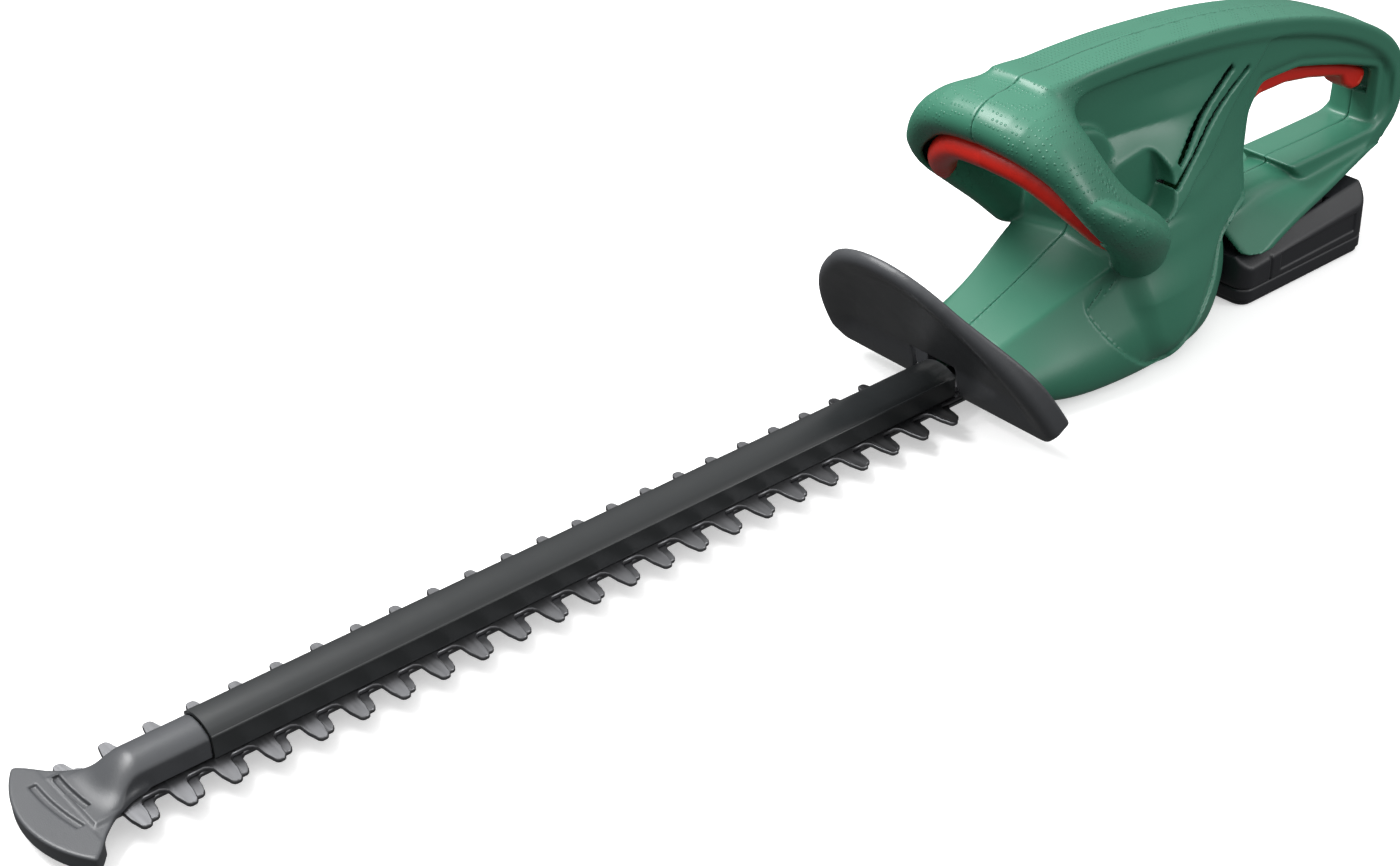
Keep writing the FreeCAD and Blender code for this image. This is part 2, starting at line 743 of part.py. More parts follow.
def rotor():
    """What turns in the motor: shaft, slotted core, commutator and cooling fan."""
    shaft = cylinder("motor_shaft", of.motor_shaft_radius, 85, motor_place, 0, 13.4)
    node(shaft, "motor_shaft")

    poles = 5
    core = Part.makeCylinder(13.8, 32, Vec(motor_x, 0, 35))
    core = core.cut(Part.makeCylinder(size("motor_shaft_radius"), 40, Vec(motor_x, 0, 30)))
    for index in range(poles):
        turn = 360 * index / poles
        opening = Part.makeBox(8, 2.2, 40, Vec(9, -1.1, 30))
        winding = Part.makeCylinder(3.1, 40, Vec(8.4, 0, 30))
        space = opening.fuse(winding)
        space.rotate(Vec(0, 0, 0), Vec(0, 0, 1), turn)
        space.translate(Vec(motor_x, 0, 0))
        core = core.cut(space)
    node(computed("rotor_core", core), "rotor_core")

    rod = Part.makeCylinder(size("motor_shaft_radius"), 120, Vec(motor_x, 0, 0))
    bars = Part.makeCylinder(6.3, 8, Vec(motor_x, 0, 71)).cut(rod)
    for index in range(poles):
        slit = Part.makeBox(8, 0.5, 20, Vec(4.5, -0.25, 65))
        slit.rotate(Vec(0, 0, 0), Vec(0, 0, 1), 360 * (index + 0.5) / poles)
        slit.translate(Vec(motor_x, 0, 0))
        bars = bars.cut(slit)
    node(computed("commutator", bars), "commutator")

    fan_low = 89
    fan = Part.makeCylinder(18.5, 1.4, Vec(motor_x, 0, fan_low))
    fan = fan.fuse(Part.makeCylinder(4.5, 9, Vec(motor_x, 0, fan_low)))
    for index in range(9):
        vane = Part.makeBox(13, 1.2, 7, Vec(5, -0.6, fan_low + 0.5))
        vane.rotate(Vec(5, 0, 0), Vec(0, 0, 1), 22)
        vane.rotate(Vec(0, 0, 0), Vec(0, 0, 1), 40 * index)
        vane.translate(Vec(motor_x, 0, 0))
        fan = fan.fuse(vane)
    node(computed("cooling_fan", fan.removeSplitter().cut(rod)), "cooling_fan")


gear_train()
gear_case()
motor()
rotor()


# ---------------------------------------------------------------- housing

wall = size("shell_wall")


def spot(station, y, z):
    return Vec(station - size("overall_length") / 2, y, z)


def belly_section(station, inset, bottom, foot_half, belly_half, belly_z, crease_half, crease_z, crown_z):
    """A seven-sided cross-section of the belly: flat underside, bulging sides, crease and crown."""
    right = [
        (foot_half - inset, bottom + inset),
        (belly_half - inset, belly_z),
        (crease_half - inset, crease_z - inset * 0.6),
    ]
    left = [(-y, z) for y, z in reversed(right)]
    ring = right + [(0, crown_z - inset)] + left
    points = [spot(station, y, z) for y, z in ring]
    return Part.makePolygon(points + points[:1])


def belly(inset):
    """The nose and the belly: narrow in front, widest around the gear case."""
    half = size("belly_half")
    stations = [
        (508 + inset, 10, 40, half - 9, 18, 21.5, 34, 37),
        (545, 0.4, 43, half - 5, 13, 27.5, 48, 51.5),
        (580, 0, 46, half, 13, 35.5, 63, 68),
        (615, 0, 46, half, 14, 43, 73, 80),
        (648, 0, 42, half - 5, 15, 39, 76, 80),
        (681 - inset, 2, 37, half - 14, 15, 31, 62, 70),
    ]
    wires = [belly_section(row[0], inset, *row[1:]) for row in stations]
    return Part.makeLoft(wires, True, True)


def slab(outline, half):
    """A side outline, given as stations and heights, made solid between y = -half and y = +half."""
    points = [spot(station, -half, z) for station, z in outline]
    face = Part.Face(Part.makePolygon(points + points[:1]))
    return face.extrude(Vec(0, 2 * half, 0))


def handle_face(inset):
    """The spine and the rear handle in side view: a curved back and the frame around the hand opening."""
    back = [(545, 162), (566, 163), (605, 163), (640, 161), (680, 157), (720, 150), (762, 139),
            (799, 124), (825, 107), (838, 86), (836, 64), (825, 50)]
    under = [(806, 47), (700, 47), (684, 47), (682, 30), (600, 30), (590, 60), (587, 100), (578, 121),
             (545, 124)]
    top = [spot(station, 0, z) for station, z in back]
    rest = [spot(station, 0, z) for station, z in under]
    if inset:
        frame = Part.makePolygon(top + rest + top[:1])
        return Part.Face(frame.makeOffset2D(-inset, 2))
    curve = Part.BSplineCurve()
    curve.interpolate(top)
    line = Part.makePolygon(top[-1:] + rest + top[:1])
    return Part.Face(Part.Wire([curve.toShape()] + line.Edges))


def hand_opening(outset):
    """The rear hand opening in side view, before the trigger fills its top."""
    corners = [(701, 52), (701, 78), (704, 101), (713, 113), (743, 113), (762, 108.5), (784, 102.5),
               (815, 92), (815, 72), (814, 58), (806, 52)]
    points = [spot(station, 0, z) for station, z in corners]
    wire = Part.makePolygon(points + points[:1])
    if outset:
        wire = wire.makeOffset2D(outset, 2)
    return Part.Face(wire)


def thick_face(face, half):
    plate = face.copy()
    plate.translate(Vec(0, -half, 0))
    return plate.extrude(Vec(0, 2 * half, 0))


def handle(inset):
    """The spine and rear handle as a solid of even width."""
    half = size("spine_half") - inset
    return thick_face(handle_face(inset), half).cut(thick_face(hand_opening(inset), half + 40))


def tower(inset):
    """The motor tower: wide in the middle, narrowing to the spine in front and to the handle behind."""
    half = size("tower_half") - inset
    narrow = size("spine_half") - inset
    side = [(600 + inset, 60 - inset), (592 + inset, 125), (596, 146), (640, 145), (686, 136),
            (698, 113), (696 - inset, 60 - inset)]
    plan = [(588 + inset, -half + 6), (606, -half), (650, -half), (712, -narrow), (712, narrow),
            (650, half), (606, half), (588 + inset, half - 6)]
    upright = Part.makePolygon([spot(s, y, 0) for s, y in plan + plan[:1]])
    column = Part.Face(upright).extrude(Vec(0, 0, 200))
    return slab(side, size("tower_half")).common(column)


def finger_pockets(inset):
    """The hollows beside the tower, behind the arms of the bow, where the fingers go."""
    outline = [(570, 79), (606, 79), (621, 86), (627, 98), (625, 110), (612, 121), (585, 127), (560, 127)]
    block = slab(outline, 80)
    if inset:
        face = Part.makePolygon([spot(s, 0, z) for s, z in outline + outline[:1]]).makeOffset2D(inset, 2)
        block = thick_face(Part.Face(face), 80)
    keep = size("finger_half") - inset
    return block.cut(Part.makeBox(400, 2 * keep, 400, Vec(-100, -keep, -100)))


def foot(inset, extra_depth=0):
    """The battery foot: a roof that slopes down to a rim on each side and rises towards the back."""
    rows = [(676 + inset, 42, 22), (702, 39, 33), (768, 29, 46), (812 - inset, 19.5, 49)]
    depth = 5 + inset * 4 + extra_depth
    wires = []
    for station, half, rim in rows:
        edge = half - inset
        ring = [(edge, rim - depth), (edge, rim - inset), (0, 53 - inset), (-edge, rim - inset),
                (-edge, rim - depth)]
        points = [spot(station, y, z) for y, z in ring]
        wires.append(Part.makePolygon(points + points[:1]))
    return Part.makeLoft(wires, True, True)


def roundabout(x, y, z, radius, length, axis):
    return Part.makeCylinder(radius, length, Vec(x, y, z), axis)


BOSS_PLACES = [(522, 31), (556, 40), (574, 152), (652, 150), (700, 138), (770, 124), (825, 66),
               (688, 70), (660, 18)]
LEVER_PIVOT = (578, 134)
TRIGGER_PIVOT = (729, 121)


def cross_cylinders(places, radius, half_from, half_to):
    """Cylinders along Y at each place, on both sides of the middle plane."""
    rods = []
    for station, z in places:
        for low, high in ((half_from, half_to), (-half_to, -half_from)):
            rods.append(Part.makeCylinder(radius, high - low, spot(station, low, z), Vec(0, 1, 0)))
    return rods


def slanted_vents():
    """Two slanted air slots on each side of the tower."""
    vents = []
    for top, bottom in (((669, 140), (634, 95)), ((680, 137), (633, 81))):
        width = 4
        outline = [bottom, (bottom[0] + width, bottom[1]), (top[0] + width, top[1]), top]
        band = slab(outline, 60).cut(Part.makeBox(600, 30, 400, Vec(-200, -15, -100)))
        vents.append(band)
    return vents


def blade_gate():
    """The opening in the nose where the guide bar, the cover and the blades come out."""
    return Part.makeBox(46, 30, 17, spot(500, -15, 5))


def battery_bay():
    """The space behind the belly and under the foot that the battery slides into."""
    half = size("battery_half") + 0.8
    return Part.makeBox(150, 2 * half, 31, spot(682.4, -half, -1))


def lever_path(lift=0):
    """The axis of the front lever's bar, from one arm of the bow to the other."""
    side = [(550, 52, 98), (543, 43, 112), (535, 24, 126), (531, 0, 130)]
    return [(s, -y, z + lift) for s, y, z in side] + [(s, y, z + lift) for s, y, z in reversed(side[:-1])]


def bow_path():
    side = [(590, 42, 68), (582, 49, 80), (571, 56, 93), (560, 59, 106), (550, 55, 120), (542, 43, 134),
            (536, 24, 143), (533, 0, 146)]
    return [(s, -y, z) for s, y, z in side] + [(s, y, z) for s, y, z in reversed(side[:-1])]


def tube_along(path, radii, wide=1.0):
    """A smooth solid along a path, with an elliptical section: radius across, radius times wide along X."""
    points = [spot(*place) for place in path]
    wires = []
    for index, centre in enumerate(points):
        before = points[max(index - 1, 0)]
        after = points[min(index + 1, len(points) - 1)]
        forward = (after - before).normalize()
        along = Vec(1, 0, 0) - forward * forward.x
        along.normalize()
        radius = radii[index] if isinstance(radii, list) else radii
        ring = Part.Ellipse()
        ring.MajorRadius = radius * max(wide, 1.001)
        ring.MinorRadius = radius
        edge = ring.toShape()
        across = forward.cross(along)
        edge.Placement = FreeCAD.Placement(centre, FreeCAD.Rotation(along, across, forward, "ZXY"))
        wires.append(Part.Wire([edge]))
    return Part.makeLoft(wires, True, False)


def turned(shape, pivot, degrees):
    """A copy of a shape turned about a pivot that runs along Y."""
    copy = shape.copy()
    copy.rotate(spot(pivot[0], 0, pivot[1]), Vec(0, 1, 0), degrees)
    return copy


def lever_solid(extra):
    """The front lever: a bar that follows the bow's underside, and an arm back to its pivot."""
    radius = size("lever_radius") + extra
    bar = tube_along(lever_path(), [radius * 0.7] + [radius] * 5 + [radius * 0.7], 1.3)
    arm = slab([(531, 126 - extra), (584 + extra, 128 - extra), (584 + extra, 139 + extra),
                (560, 139 + extra), (531, 134 + extra)], 4.5 + extra)
    return bar.fuse(arm)


def lever_room():
    """Where the front lever moves: its own shape, a little larger, at each step of its turn."""
    room = lever_solid(0.9)
    steps = 3
    for index in range(1, steps + 1):
        room = room.fuse(turned(lever_solid(0.9), LEVER_PIVOT, size("lever_squeeze") * index / steps))
    return room


def trigger_outline():
    return [(704, 96), (722, 102.5), (743, 102.5), (764, 99), (786, 93.5), (793, 91.5), (797, 85),
            (804, 80.5), (811, 80.5), (814.5, 85), (815, 90), (800, 97.5), (784, 102.5), (762, 108),
            (745, 111.5), (738, 126), (722, 126), (720, 113), (711, 108)]


def trigger_room():
    """Where the trigger moves, inside the grip and in a slot of the rear wall."""
    return slab([(699, 90), (706, 112), (716, 131), (742, 131), (790, 112), (821, 102), (821, 76), (800, 76),
                 (780, 90)],
                size("trigger_half") + 0.7)


def housing_halves():
    """The two shells, split down the middle, with screw bosses and the holes that they need."""
    outer = belly(0).fuse([tower(0), handle(0), foot(0)]).cut(finger_pockets(0))
    inner = belly(wall).fuse([tower(wall), handle(wall), foot(wall)]).cut(finger_pockets(wall))
    posts = cross_cylinders(BOSS_PLACES, 4.5, 0.15, 60) + cross_cylinders([LEVER_PIVOT], 4.5, 9, 60)
    posts += cross_cylinders([TRIGGER_PIVOT], 4.5, 12.2, 60)
    bosses = posts[0].fuse(posts[1:]).common(outer)
    opening = thick_face(hand_opening(0), 60)
    shell = outer.cut(inner).fuse(bosses).cut(opening)
    holes = cross_cylinders(BOSS_PLACES, 1.75, 0, 60)[0::2] + cross_cylinders(BOSS_PLACES, 1.75, 0, 12)[1::2]
    holes += cross_cylinders([LEVER_PIVOT, TRIGGER_PIVOT], size("pin_radius"), 0, 14)
    rooms = [blade_gate(), battery_bay(), lever_room(), trigger_room()]
    shell = shell.cut(holes + slanted_vents() + rooms)
    return shell


shell_solid = housing_halves()
half_space = Part.makeBox(1000, 200, 300, Vec(-500, -200, -50))
other_half = Part.makeBox(1000, 200, 300, Vec(-500, 0, -50))
node(computed("housing_left", shell_solid.common(half_space)), "housing_left")
node(computed("housing_right", shell_solid.common(other_half)), "housing_right")


def bow_handle():
    """The front bow handle, in two halves, hollow, with a channel for the lever underneath."""
    path = bow_path()
    radii = [11.5, 12.5, 13.5, 14.5, 14.5, 14, 14, 14]
    radii = radii + radii[-2::-1]
    skin = tube_along(path, radii, 1.45)
    hollow = tube_along(path, [radius - wall for radius in radii], 1.45)
    whole = belly(0).fuse([tower(0), handle(0)]).cut(finger_pockets(0))
    bow = skin.cut(hollow).cut(whole).cut(lever_room())
    return bow


bow_solid = bow_handle()
node(computed("bow_handle_left", bow_solid.common(half_space)), "bow_handle_left")
node(computed("bow_handle_right", bow_solid.common(other_half)), "bow_handle_right")


def nose_collar():
    """The black frame between the hand guard and the nose."""
    body = new_body("nose_collar")
    outline = new_sketch(body, "YZ_Plane", at(501))
    draw_outline(outline, [(-34, 12), (34, 12), (40, 19), (19, 31.5), (-19, 31.5), (-40, 19)])
    add_pad(body, outline, 6.9)
    gate = new_sketch(body, "YZ_Plane", at(501))
    draw_outline(gate, rectangle(-15, 15, 10, 22))
    add_pocket(body, gate, 8, reverse=True)
    return node(body, "nose_collar")


def housing_screws():
    """The screws that hold the two shells together, driven from the right side."""
    screws = []
    for station, z in BOSS_PLACES:
        shank = cylinder("shell_shank", 1.75, 22, at(station), 11.6, z, "Y")
        shank.Placement.Rotation = FreeCAD.Rotation(Vec(1, 0, 0), 90)
        screws.append(shank)
    return node(group("housing_screws", screws), "housing_screws")


# ---------------------------------------------------------------- switch lever and trigger

def front_lever():
    """The red switch bar under the bow handle."""
    solid = lever_solid(0).cut(roundabout(spot(LEVER_PIVOT[0], 0, 0).x, -20, LEVER_PIVOT[1],
                                          size("pin_radius") + size("running_gap"), 40, Vec(0, 1, 0)))
    return node(computed("front_lever", solid), "front_lever")


def rear_trigger():
    """The red trigger along the top of the rear hand opening, with a hooked end in the rear wall."""
    solid = slab(trigger_outline(), size("trigger_half"))
    solid = solid.cut(roundabout(spot(TRIGGER_PIVOT[0], 0, 0).x, -20, TRIGGER_PIVOT[1],
                                 size("pin_radius") + size("running_gap"), 40, Vec(0, 1, 0)))
    return node(computed("rear_trigger", solid), "rear_trigger")


def pivot_pin(name, pivot, half_length):
    pin = cylinder(name, of.pin_radius, 2 * half_length, at(pivot[0]), half_length, pivot[1], "Y")
    pin.Placement.Rotation = FreeCAD.Rotation(Vec(1, 0, 0), 90)
    return node(pin, name)


def spiral_spring(name, pivot, y_from):
    """A return spring: a flat strip wound round the pivot pin, drawn as half circles that grow."""
    inner_radius = size("pin_radius") + size("running_gap") + 0.2
    strip, growth, width, half_turns = 0.3, 0.3, 2.7, 4
    centre = spot(pivot[0], y_from, pivot[1])

    def half_circles(radius):
        arcs = []
        for turn in range(half_turns):
            side = 1 if turn % 2 == 0 else -1
            middle = centre + Vec(growth * (turn % 2), 0, 0)
            arcs.append(Part.Arc(middle + Vec(side * radius, 0, 0), middle + Vec(0, 0, side * radius),
                                 middle - Vec(side * radius, 0, 0)).toShape())
            radius += growth
        return arcs

    inside, outside = half_circles(inner_radius), half_circles(inner_radius + strip)
    start = Part.makeLine(inside[0].valueAt(inside[0].FirstParameter),
                          outside[0].valueAt(outside[0].FirstParameter))
    stop = Part.makeLine(inside[-1].valueAt(inside[-1].LastParameter),
                         outside[-1].valueAt(outside[-1].LastParameter))
    loop = Part.Wire(Part.__sortEdges__(inside + [start] + outside + [stop]))
    coil = Part.Face(loop).extrude(Vec(0, width, 0))
    return node(computed(name, coil), name)


def switches():
    """The two microswitches, one for each hand, and the circuit board they feed."""
    front = box("front_switch_case", at(601), at(614), -5, 5, 128, 139)
    button = box("front_switch_button", at(599.6), at(601), -2, 2, 133, 136)
    node(fused("front_switch", [front, button]), "front_switch")
    rear = box("rear_switch_case", at(748), at(764), -5, 5, 116, 123)
    tip = box("rear_switch_button", at(752), at(756), -1.5, 1.5, 114.8, 116)
    node(fused("rear_switch", [rear, tip]), "rear_switch")
    board = box("board", at(664), at(665.6), -15, 15, 38, 92)
    parts = [
        cylinder("capacitor", 4.5, 12, at(665.6), -6, 78, "X"),
        box("power_chip", at(665.6), at(670), 2, 12, 60, 75),
        box("heat_plate", at(665.6), at(667.6), -12, 0, 44, 62),
    ]
    node(fused("circuit_board", [board] + parts), "circuit_board")


def foot_fittings():
    """The contact block and the two rails that hold the battery under the foot."""
    block = box("contact_block", at(691), at(712), -12, 12, 37.6, 42)
    node(block, "contact_block")
    plates = [box("contact_plate", at(692), at(705), y, y + 0.8, 31, 37.6) for y in (-8.4, -0.4, 7.6)]
    node(group("contact_plates", plates), "contact_plates")
    rail = Part.makeBox(68, 2.4, 14, spot(692, 24.8, 28.4))
    rail = rail.fuse(Part.makeBox(68, 5, 2, spot(692, 20, 28.4)))
    under_roof = foot(wall, 20)
    right = rail.common(under_roof)
    left = right.mirror(Vec(0, 0, 0), Vec(0, 1, 0))
    node(computed("battery_rails", Part.makeCompound([left, right])), "battery_rails")


# ---------------------------------------------------------------- battery

def rounded_plan(front, back, half, radius):
    """A rectangle with round corners, as points of an XY sketch."""
    return [
        (front + radius, -half, radius * 1.0001, -1),
        (back - radius, -half),
        (back, radius - half, radius * 1.0001, -1),
        (back, half - radius),
        (back - radius, half, radius * 1.0001, -1),
        (front + radius, half),
        (front, half - radius, radius * 1.0001, -1),
        (front, radius - half),
    ]


def battery_tray():
    """The lower shell of the battery."""
    body = new_body("battery_tray")
    outline = new_sketch(body, "XY_Plane")
    draw_outline(outline, rounded_plan(at(of.battery_front), at(of.battery_back), of.battery_half, 8))
    add_pad(body, outline, of.battery_split)
    hollow = new_sketch(body, "XY_Plane", 2)
    draw_outline(hollow, rounded_plan(at(of.battery_front) + 2, at(of.battery_back) - 2,
                                      of.battery_half - 2, 6))
    add_pocket(body, hollow, of.battery_split, reverse=True)
    return node(body, "battery_tray")


def battery_top():
    """The upper shell: sides that lean in at the top, rail grooves, contact slots and a rising back."""
    front, back = size("battery_front"), size("battery_back")
    half, low = size("battery_half"), size("battery_split") + 0.1
    plan = Part.makeBox(back - front, 2 * half, 40, spot(front, -half, low))
    plan = plan.makeFillet(8, [e for e in plan.Edges if abs(e.BoundBox.ZLength - 40) < 0.01])

    def profile(inset):
        rows = []
        for station, side_top, band_top in ((front - 1, 21.4, 28), (back + 1, 29, 39)):
            ring = [(half - inset, low - 1), (half - inset, side_top), (30 - inset, band_top - inset),
                    (inset - 30, band_top - inset), (inset - half, side_top), (inset - half, low - 1)]
            points = [spot(station, y, z) for y, z in ring]
            rows.append(Part.makePolygon(points + points[:1]))
        return Part.makeLoft(rows, True, True)

    cavity = Part.makeBox(back - front - 4, 2 * half - 4, 15, spot(front + 2, 2 - half, low - 1))
    outer = plan.common(profile(0))
    rail = size("rail_half")
    block = Part.makeBox(83, 2 * rail, size("rail_high") - 20, spot(front + 4.5, -rail, 20))
    clear = Part.makeBox(80, 2 * 29, 20, spot(front - 1, -29, 27.6))
    solid = outer.cut(clear).fuse(block)
    grooves = [Part.makeBox(80, 4.8, 3.6, spot(front - 1, y, 27.5)) for y in (-rail - 0.1, rail - 4.7)]
    slots = [Part.makeBox(25, 2.6, 12, spot(front - 1, y - 1.3, 29)) for y in (-8, 0, 8)]
    button_room = Part.makeBox(4.4, 29, 13.6, spot(back - 4.4, -14.5, 11.9))
    solid = solid.cut([cavity, button_room] + grooves + slots)
    return node(computed("battery_top", solid), "battery_top")


def battery_inside():
    """Five round cells side by side, the strips that join them, and the pack's own board."""
    pitch = of.cell_radius * 2 + 0.8
    cells = [cylinder("cell", of.cell_radius, of.cell_length, at(of.battery_front) + 13 + pitch * index,
                      -of.cell_length / 2, 12, "Y") for index in range(5)]
    for cell in cells:
        cell.Placement.Rotation = FreeCAD.Rotation(Vec(1, 0, 0), -90)
    node(group("battery_cells", cells), "battery_cells")
    strips = [box("strip", at(of.battery_front) + 8, at(of.battery_back) - 12, y, y + 0.4, 8, 16)
              for y in (-33, 32.6)]
    node(group("cell_strips", strips), "cell_strips")
    board = box("pack_board", at(of.battery_front) + 12, at(of.battery_back) - 20, -15, 15, 21.6, 23.2)
    return node(board, "pack_board")


def battery_screws():
    """Four screws up through the tray's corners, with their heads sunk in the underside."""
    screws = []
    for x in (at(of.battery_front) + 9, at(of.battery_back) - 9):
        for y in (-35, 35):
            screws.append(cylinder("pack_screw", 0.9, 7, x, y, 2.1))
    return node(group("battery_screws", screws), "battery_screws")


def battery_button():
    """The release button in the battery's rear face."""
    back = at(of.battery_back)
    plate = box("button_plate", back - 0.6, back + 1.4, -13.6, 13.6, 12.6, 24.6)
    return node(plate, "battery_button")


nose_collar()
housing_screws()
front_lever()
rear_trigger()
pivot_pin("lever_pin", LEVER_PIVOT, 12)
pivot_pin("trigger_pin", TRIGGER_PIVOT, 14)
spiral_spring("lever_spring", LEVER_PIVOT, 5.2)
spiral_spring("trigger_spring", TRIGGER_PIVOT, 8.6)
switches()
foot_fittings()
battery_tray()
battery_top()
battery_inside()
battery_screws()
battery_button()


def finish():
    """Builds the document, checks every object and writes one file for each node."""
    doc.recompute()
    for obj in doc.Objects:
        bad = [state for state in obj.State if state in ("Invalid", "Error")]
        if bad:
            raise RuntimeError("%s (%s): %s" % (obj.Name, obj.Label, obj.getStatusString()))
    for obj in NODES:
        if obj.Shape.isNull() or not obj.Shape.isValid():
            raise RuntimeError("%s has no valid shape" % obj.Label)
        obj.Shape.exportStep("parts/%s.step" % obj.Label)
        print("%-22s %2d solids %10.1f mm3  z %.1f..%.1f" % (obj.Label, len(obj.Shape.Solids),
              obj.Shape.Volume, obj.Shape.BoundBox.ZMin, obj.Shape.BoundBox.ZMax))


finish()
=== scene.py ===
"""A battery hedge trimmer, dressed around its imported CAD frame, in metres."""
import json
import math

import bpy
import numpy as np
from mathutils import Matrix, Vector

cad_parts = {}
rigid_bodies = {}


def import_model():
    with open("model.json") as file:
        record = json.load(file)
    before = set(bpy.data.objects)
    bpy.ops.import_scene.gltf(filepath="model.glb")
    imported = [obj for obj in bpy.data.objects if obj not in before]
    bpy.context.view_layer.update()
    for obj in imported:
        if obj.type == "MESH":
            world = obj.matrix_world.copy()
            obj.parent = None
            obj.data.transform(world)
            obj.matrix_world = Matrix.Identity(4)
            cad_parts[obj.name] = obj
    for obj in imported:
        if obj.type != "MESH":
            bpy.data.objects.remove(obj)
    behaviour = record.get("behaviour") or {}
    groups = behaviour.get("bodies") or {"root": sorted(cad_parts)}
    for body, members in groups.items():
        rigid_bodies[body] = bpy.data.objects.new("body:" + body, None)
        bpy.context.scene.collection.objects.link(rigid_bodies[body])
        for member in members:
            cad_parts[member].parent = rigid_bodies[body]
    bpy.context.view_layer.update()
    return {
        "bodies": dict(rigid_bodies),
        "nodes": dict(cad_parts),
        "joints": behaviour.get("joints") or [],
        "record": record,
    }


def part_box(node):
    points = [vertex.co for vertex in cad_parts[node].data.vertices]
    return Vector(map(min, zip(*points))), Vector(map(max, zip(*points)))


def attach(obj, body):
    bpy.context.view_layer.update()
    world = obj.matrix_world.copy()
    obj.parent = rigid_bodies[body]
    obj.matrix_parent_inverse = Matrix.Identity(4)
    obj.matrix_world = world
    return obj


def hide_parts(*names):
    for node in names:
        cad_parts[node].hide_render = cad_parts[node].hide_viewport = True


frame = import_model()

# ---------------------------------------------------------------- frame
# Shapes are written in millimetres: (s, y, z), where s is the station, the distance back from the tip guard's
# front edge, y is the distance to the right of the middle plane and z is the height above the ground.

MM = 0.001
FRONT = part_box("tip_guard")[0].x


def low_high(node):
    """A CAD node's box as two corners (s, y, z) in millimetres."""
    low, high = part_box(node)
    return tuple(((v.x - FRONT) / MM, v.y / MM, v.z / MM) for v in (low, high))


COVER_LOW, COVER_HIGH = low_high("blade_cover")
SHELL_LOW, SHELL_HIGH = low_high("housing_left")
TRAY_LOW, TRAY_HIGH = low_high("battery_tray")


# ---------------------------------------------------------------- fields
# A field is a function of (s, y, z) arrays that is negative inside a shape, and close to the distance in
# millimetres near its surface. Shapes are joined and cut with these, then turned into a mesh.

def step(low, high, value):
    """0 below low, 1 above high, smooth between."""
    t = np.clip((value - low) / (high - low), 0, 1)
    return t * t * (3 - 2 * t)


def join(a, b, radius=0.01):
    """The union of two fields with a fillet."""
    h = np.maximum(radius - np.abs(a - b), 0) / radius
    return np.minimum(a, b) - h * h * radius * 0.25


def both(a, b, radius=0.01):
    """The intersection of two fields with a rounded edge."""
    h = np.maximum(radius - np.abs(a - b), 0) / radius
    return np.maximum(a, b) + h * h * radius * 0.25


def cut(a, b, radius=0.01):
    """Field a without field b."""
    return both(a, -b, radius)


def curve(places, values, at):
    """A smooth curve through (place, value) pairs."""
    places, values = np.asarray(places, float), np.asarray(values, float)
    slope = np.gradient(values, places)
    i = np.clip(np.searchsorted(places, at) - 1, 0, len(places) - 2)
    width = places[i + 1] - places[i]
    t = np.clip((at - places[i]) / width, 0, 1)
    a, b = 2 * t ** 3 - 3 * t ** 2 + 1, t ** 3 - 2 * t ** 2 + t
    c, d = 1 - a, t ** 3 - t ** 2
    return a * values[i] + b * width * slope[i] + c * values[i + 1] + d * width * slope[i + 1]


def rounded_line(points, divisions=8):
    """A closed smooth line through points, as a polygon."""
    p = np.asarray(points, float)
    t = np.linspace(0, 1, divisions, endpoint=False)[:, None, None]
    before, after, beyond = np.roll(p, 1, 0), np.roll(p, -1, 0), np.roll(p, -2, 0)
    line = 0.5 * (2 * p + (after - before) * t + (2 * before - 5 * p + 4 * after - beyond) * t ** 2
                  + (3 * p - before - 3 * after + beyond) * t ** 3)
    return line.transpose(1, 0, 2).reshape(-1, 2)


class Outline:
    """The signed distance to a closed outline in a plane, from a table with corners rounded by a blur."""

    def __init__(self, points, blur=0.0, cell=0.5, margin=30.0):
        p = np.asarray(points, float)
        self.low, self.cell = p.min(0) - margin, cell
        size = np.ceil((p.max(0) + margin - self.low) / cell).astype(int) + 1
        u, v = np.meshgrid(*[self.low[k] + cell * np.arange(size[k]) for k in (0, 1)], indexing="ij")
        nearest, inside = np.full(u.shape, 1e9), np.zeros(u.shape, bool)
        for a, b in zip(p, np.roll(p, -1, 0)):
            edge = b - a
            t = np.clip(((u - a[0]) * edge[0] + (v - a[1]) * edge[1]) / max(edge @ edge, 1e-9), 0, 1)
            nearest = np.minimum(nearest, (u - a[0] - t * edge[0]) ** 2 + (v - a[1] - t * edge[1]) ** 2)
            if a[1] != b[1]:
                crossing = (v >= min(a[1], b[1])) & (v < max(a[1], b[1]))
                inside ^= crossing & (u < a[0] + (v - a[1]) * edge[0] / edge[1])
        table = np.sqrt(nearest) * np.where(inside, -1, 1)
        if blur:
            reach = int(math.ceil(2.5 * blur / cell))
            weight = np.exp(-0.5 * (np.arange(-reach, reach + 1) * cell / blur) ** 2)
            weight /= weight.sum()
            for axis in (0, 1):
                pad = [(reach, reach) if k == axis else (0, 0) for k in (0, 1)]
                padded = np.pad(table, pad, mode="edge")
                table = np.apply_along_axis(lambda row: np.convolve(row, weight, "valid"), axis, padded)
        self.table = table

    def __call__(self, u, v):
        a = np.clip((u - self.low[0]) / self.cell, 0, self.table.shape[0] - 1.001)
        b = np.clip((v - self.low[1]) / self.cell, 0, self.table.shape[1] - 1.001)
        i, j = a.astype(int), b.astype(int)
        a, b, t = a - i, b - j, self.table
        return ((t[i, j] * (1 - a) + t[i + 1, j] * a) * (1 - b)
                + (t[i, j + 1] * (1 - a) + t[i + 1, j + 1] * a) * b)


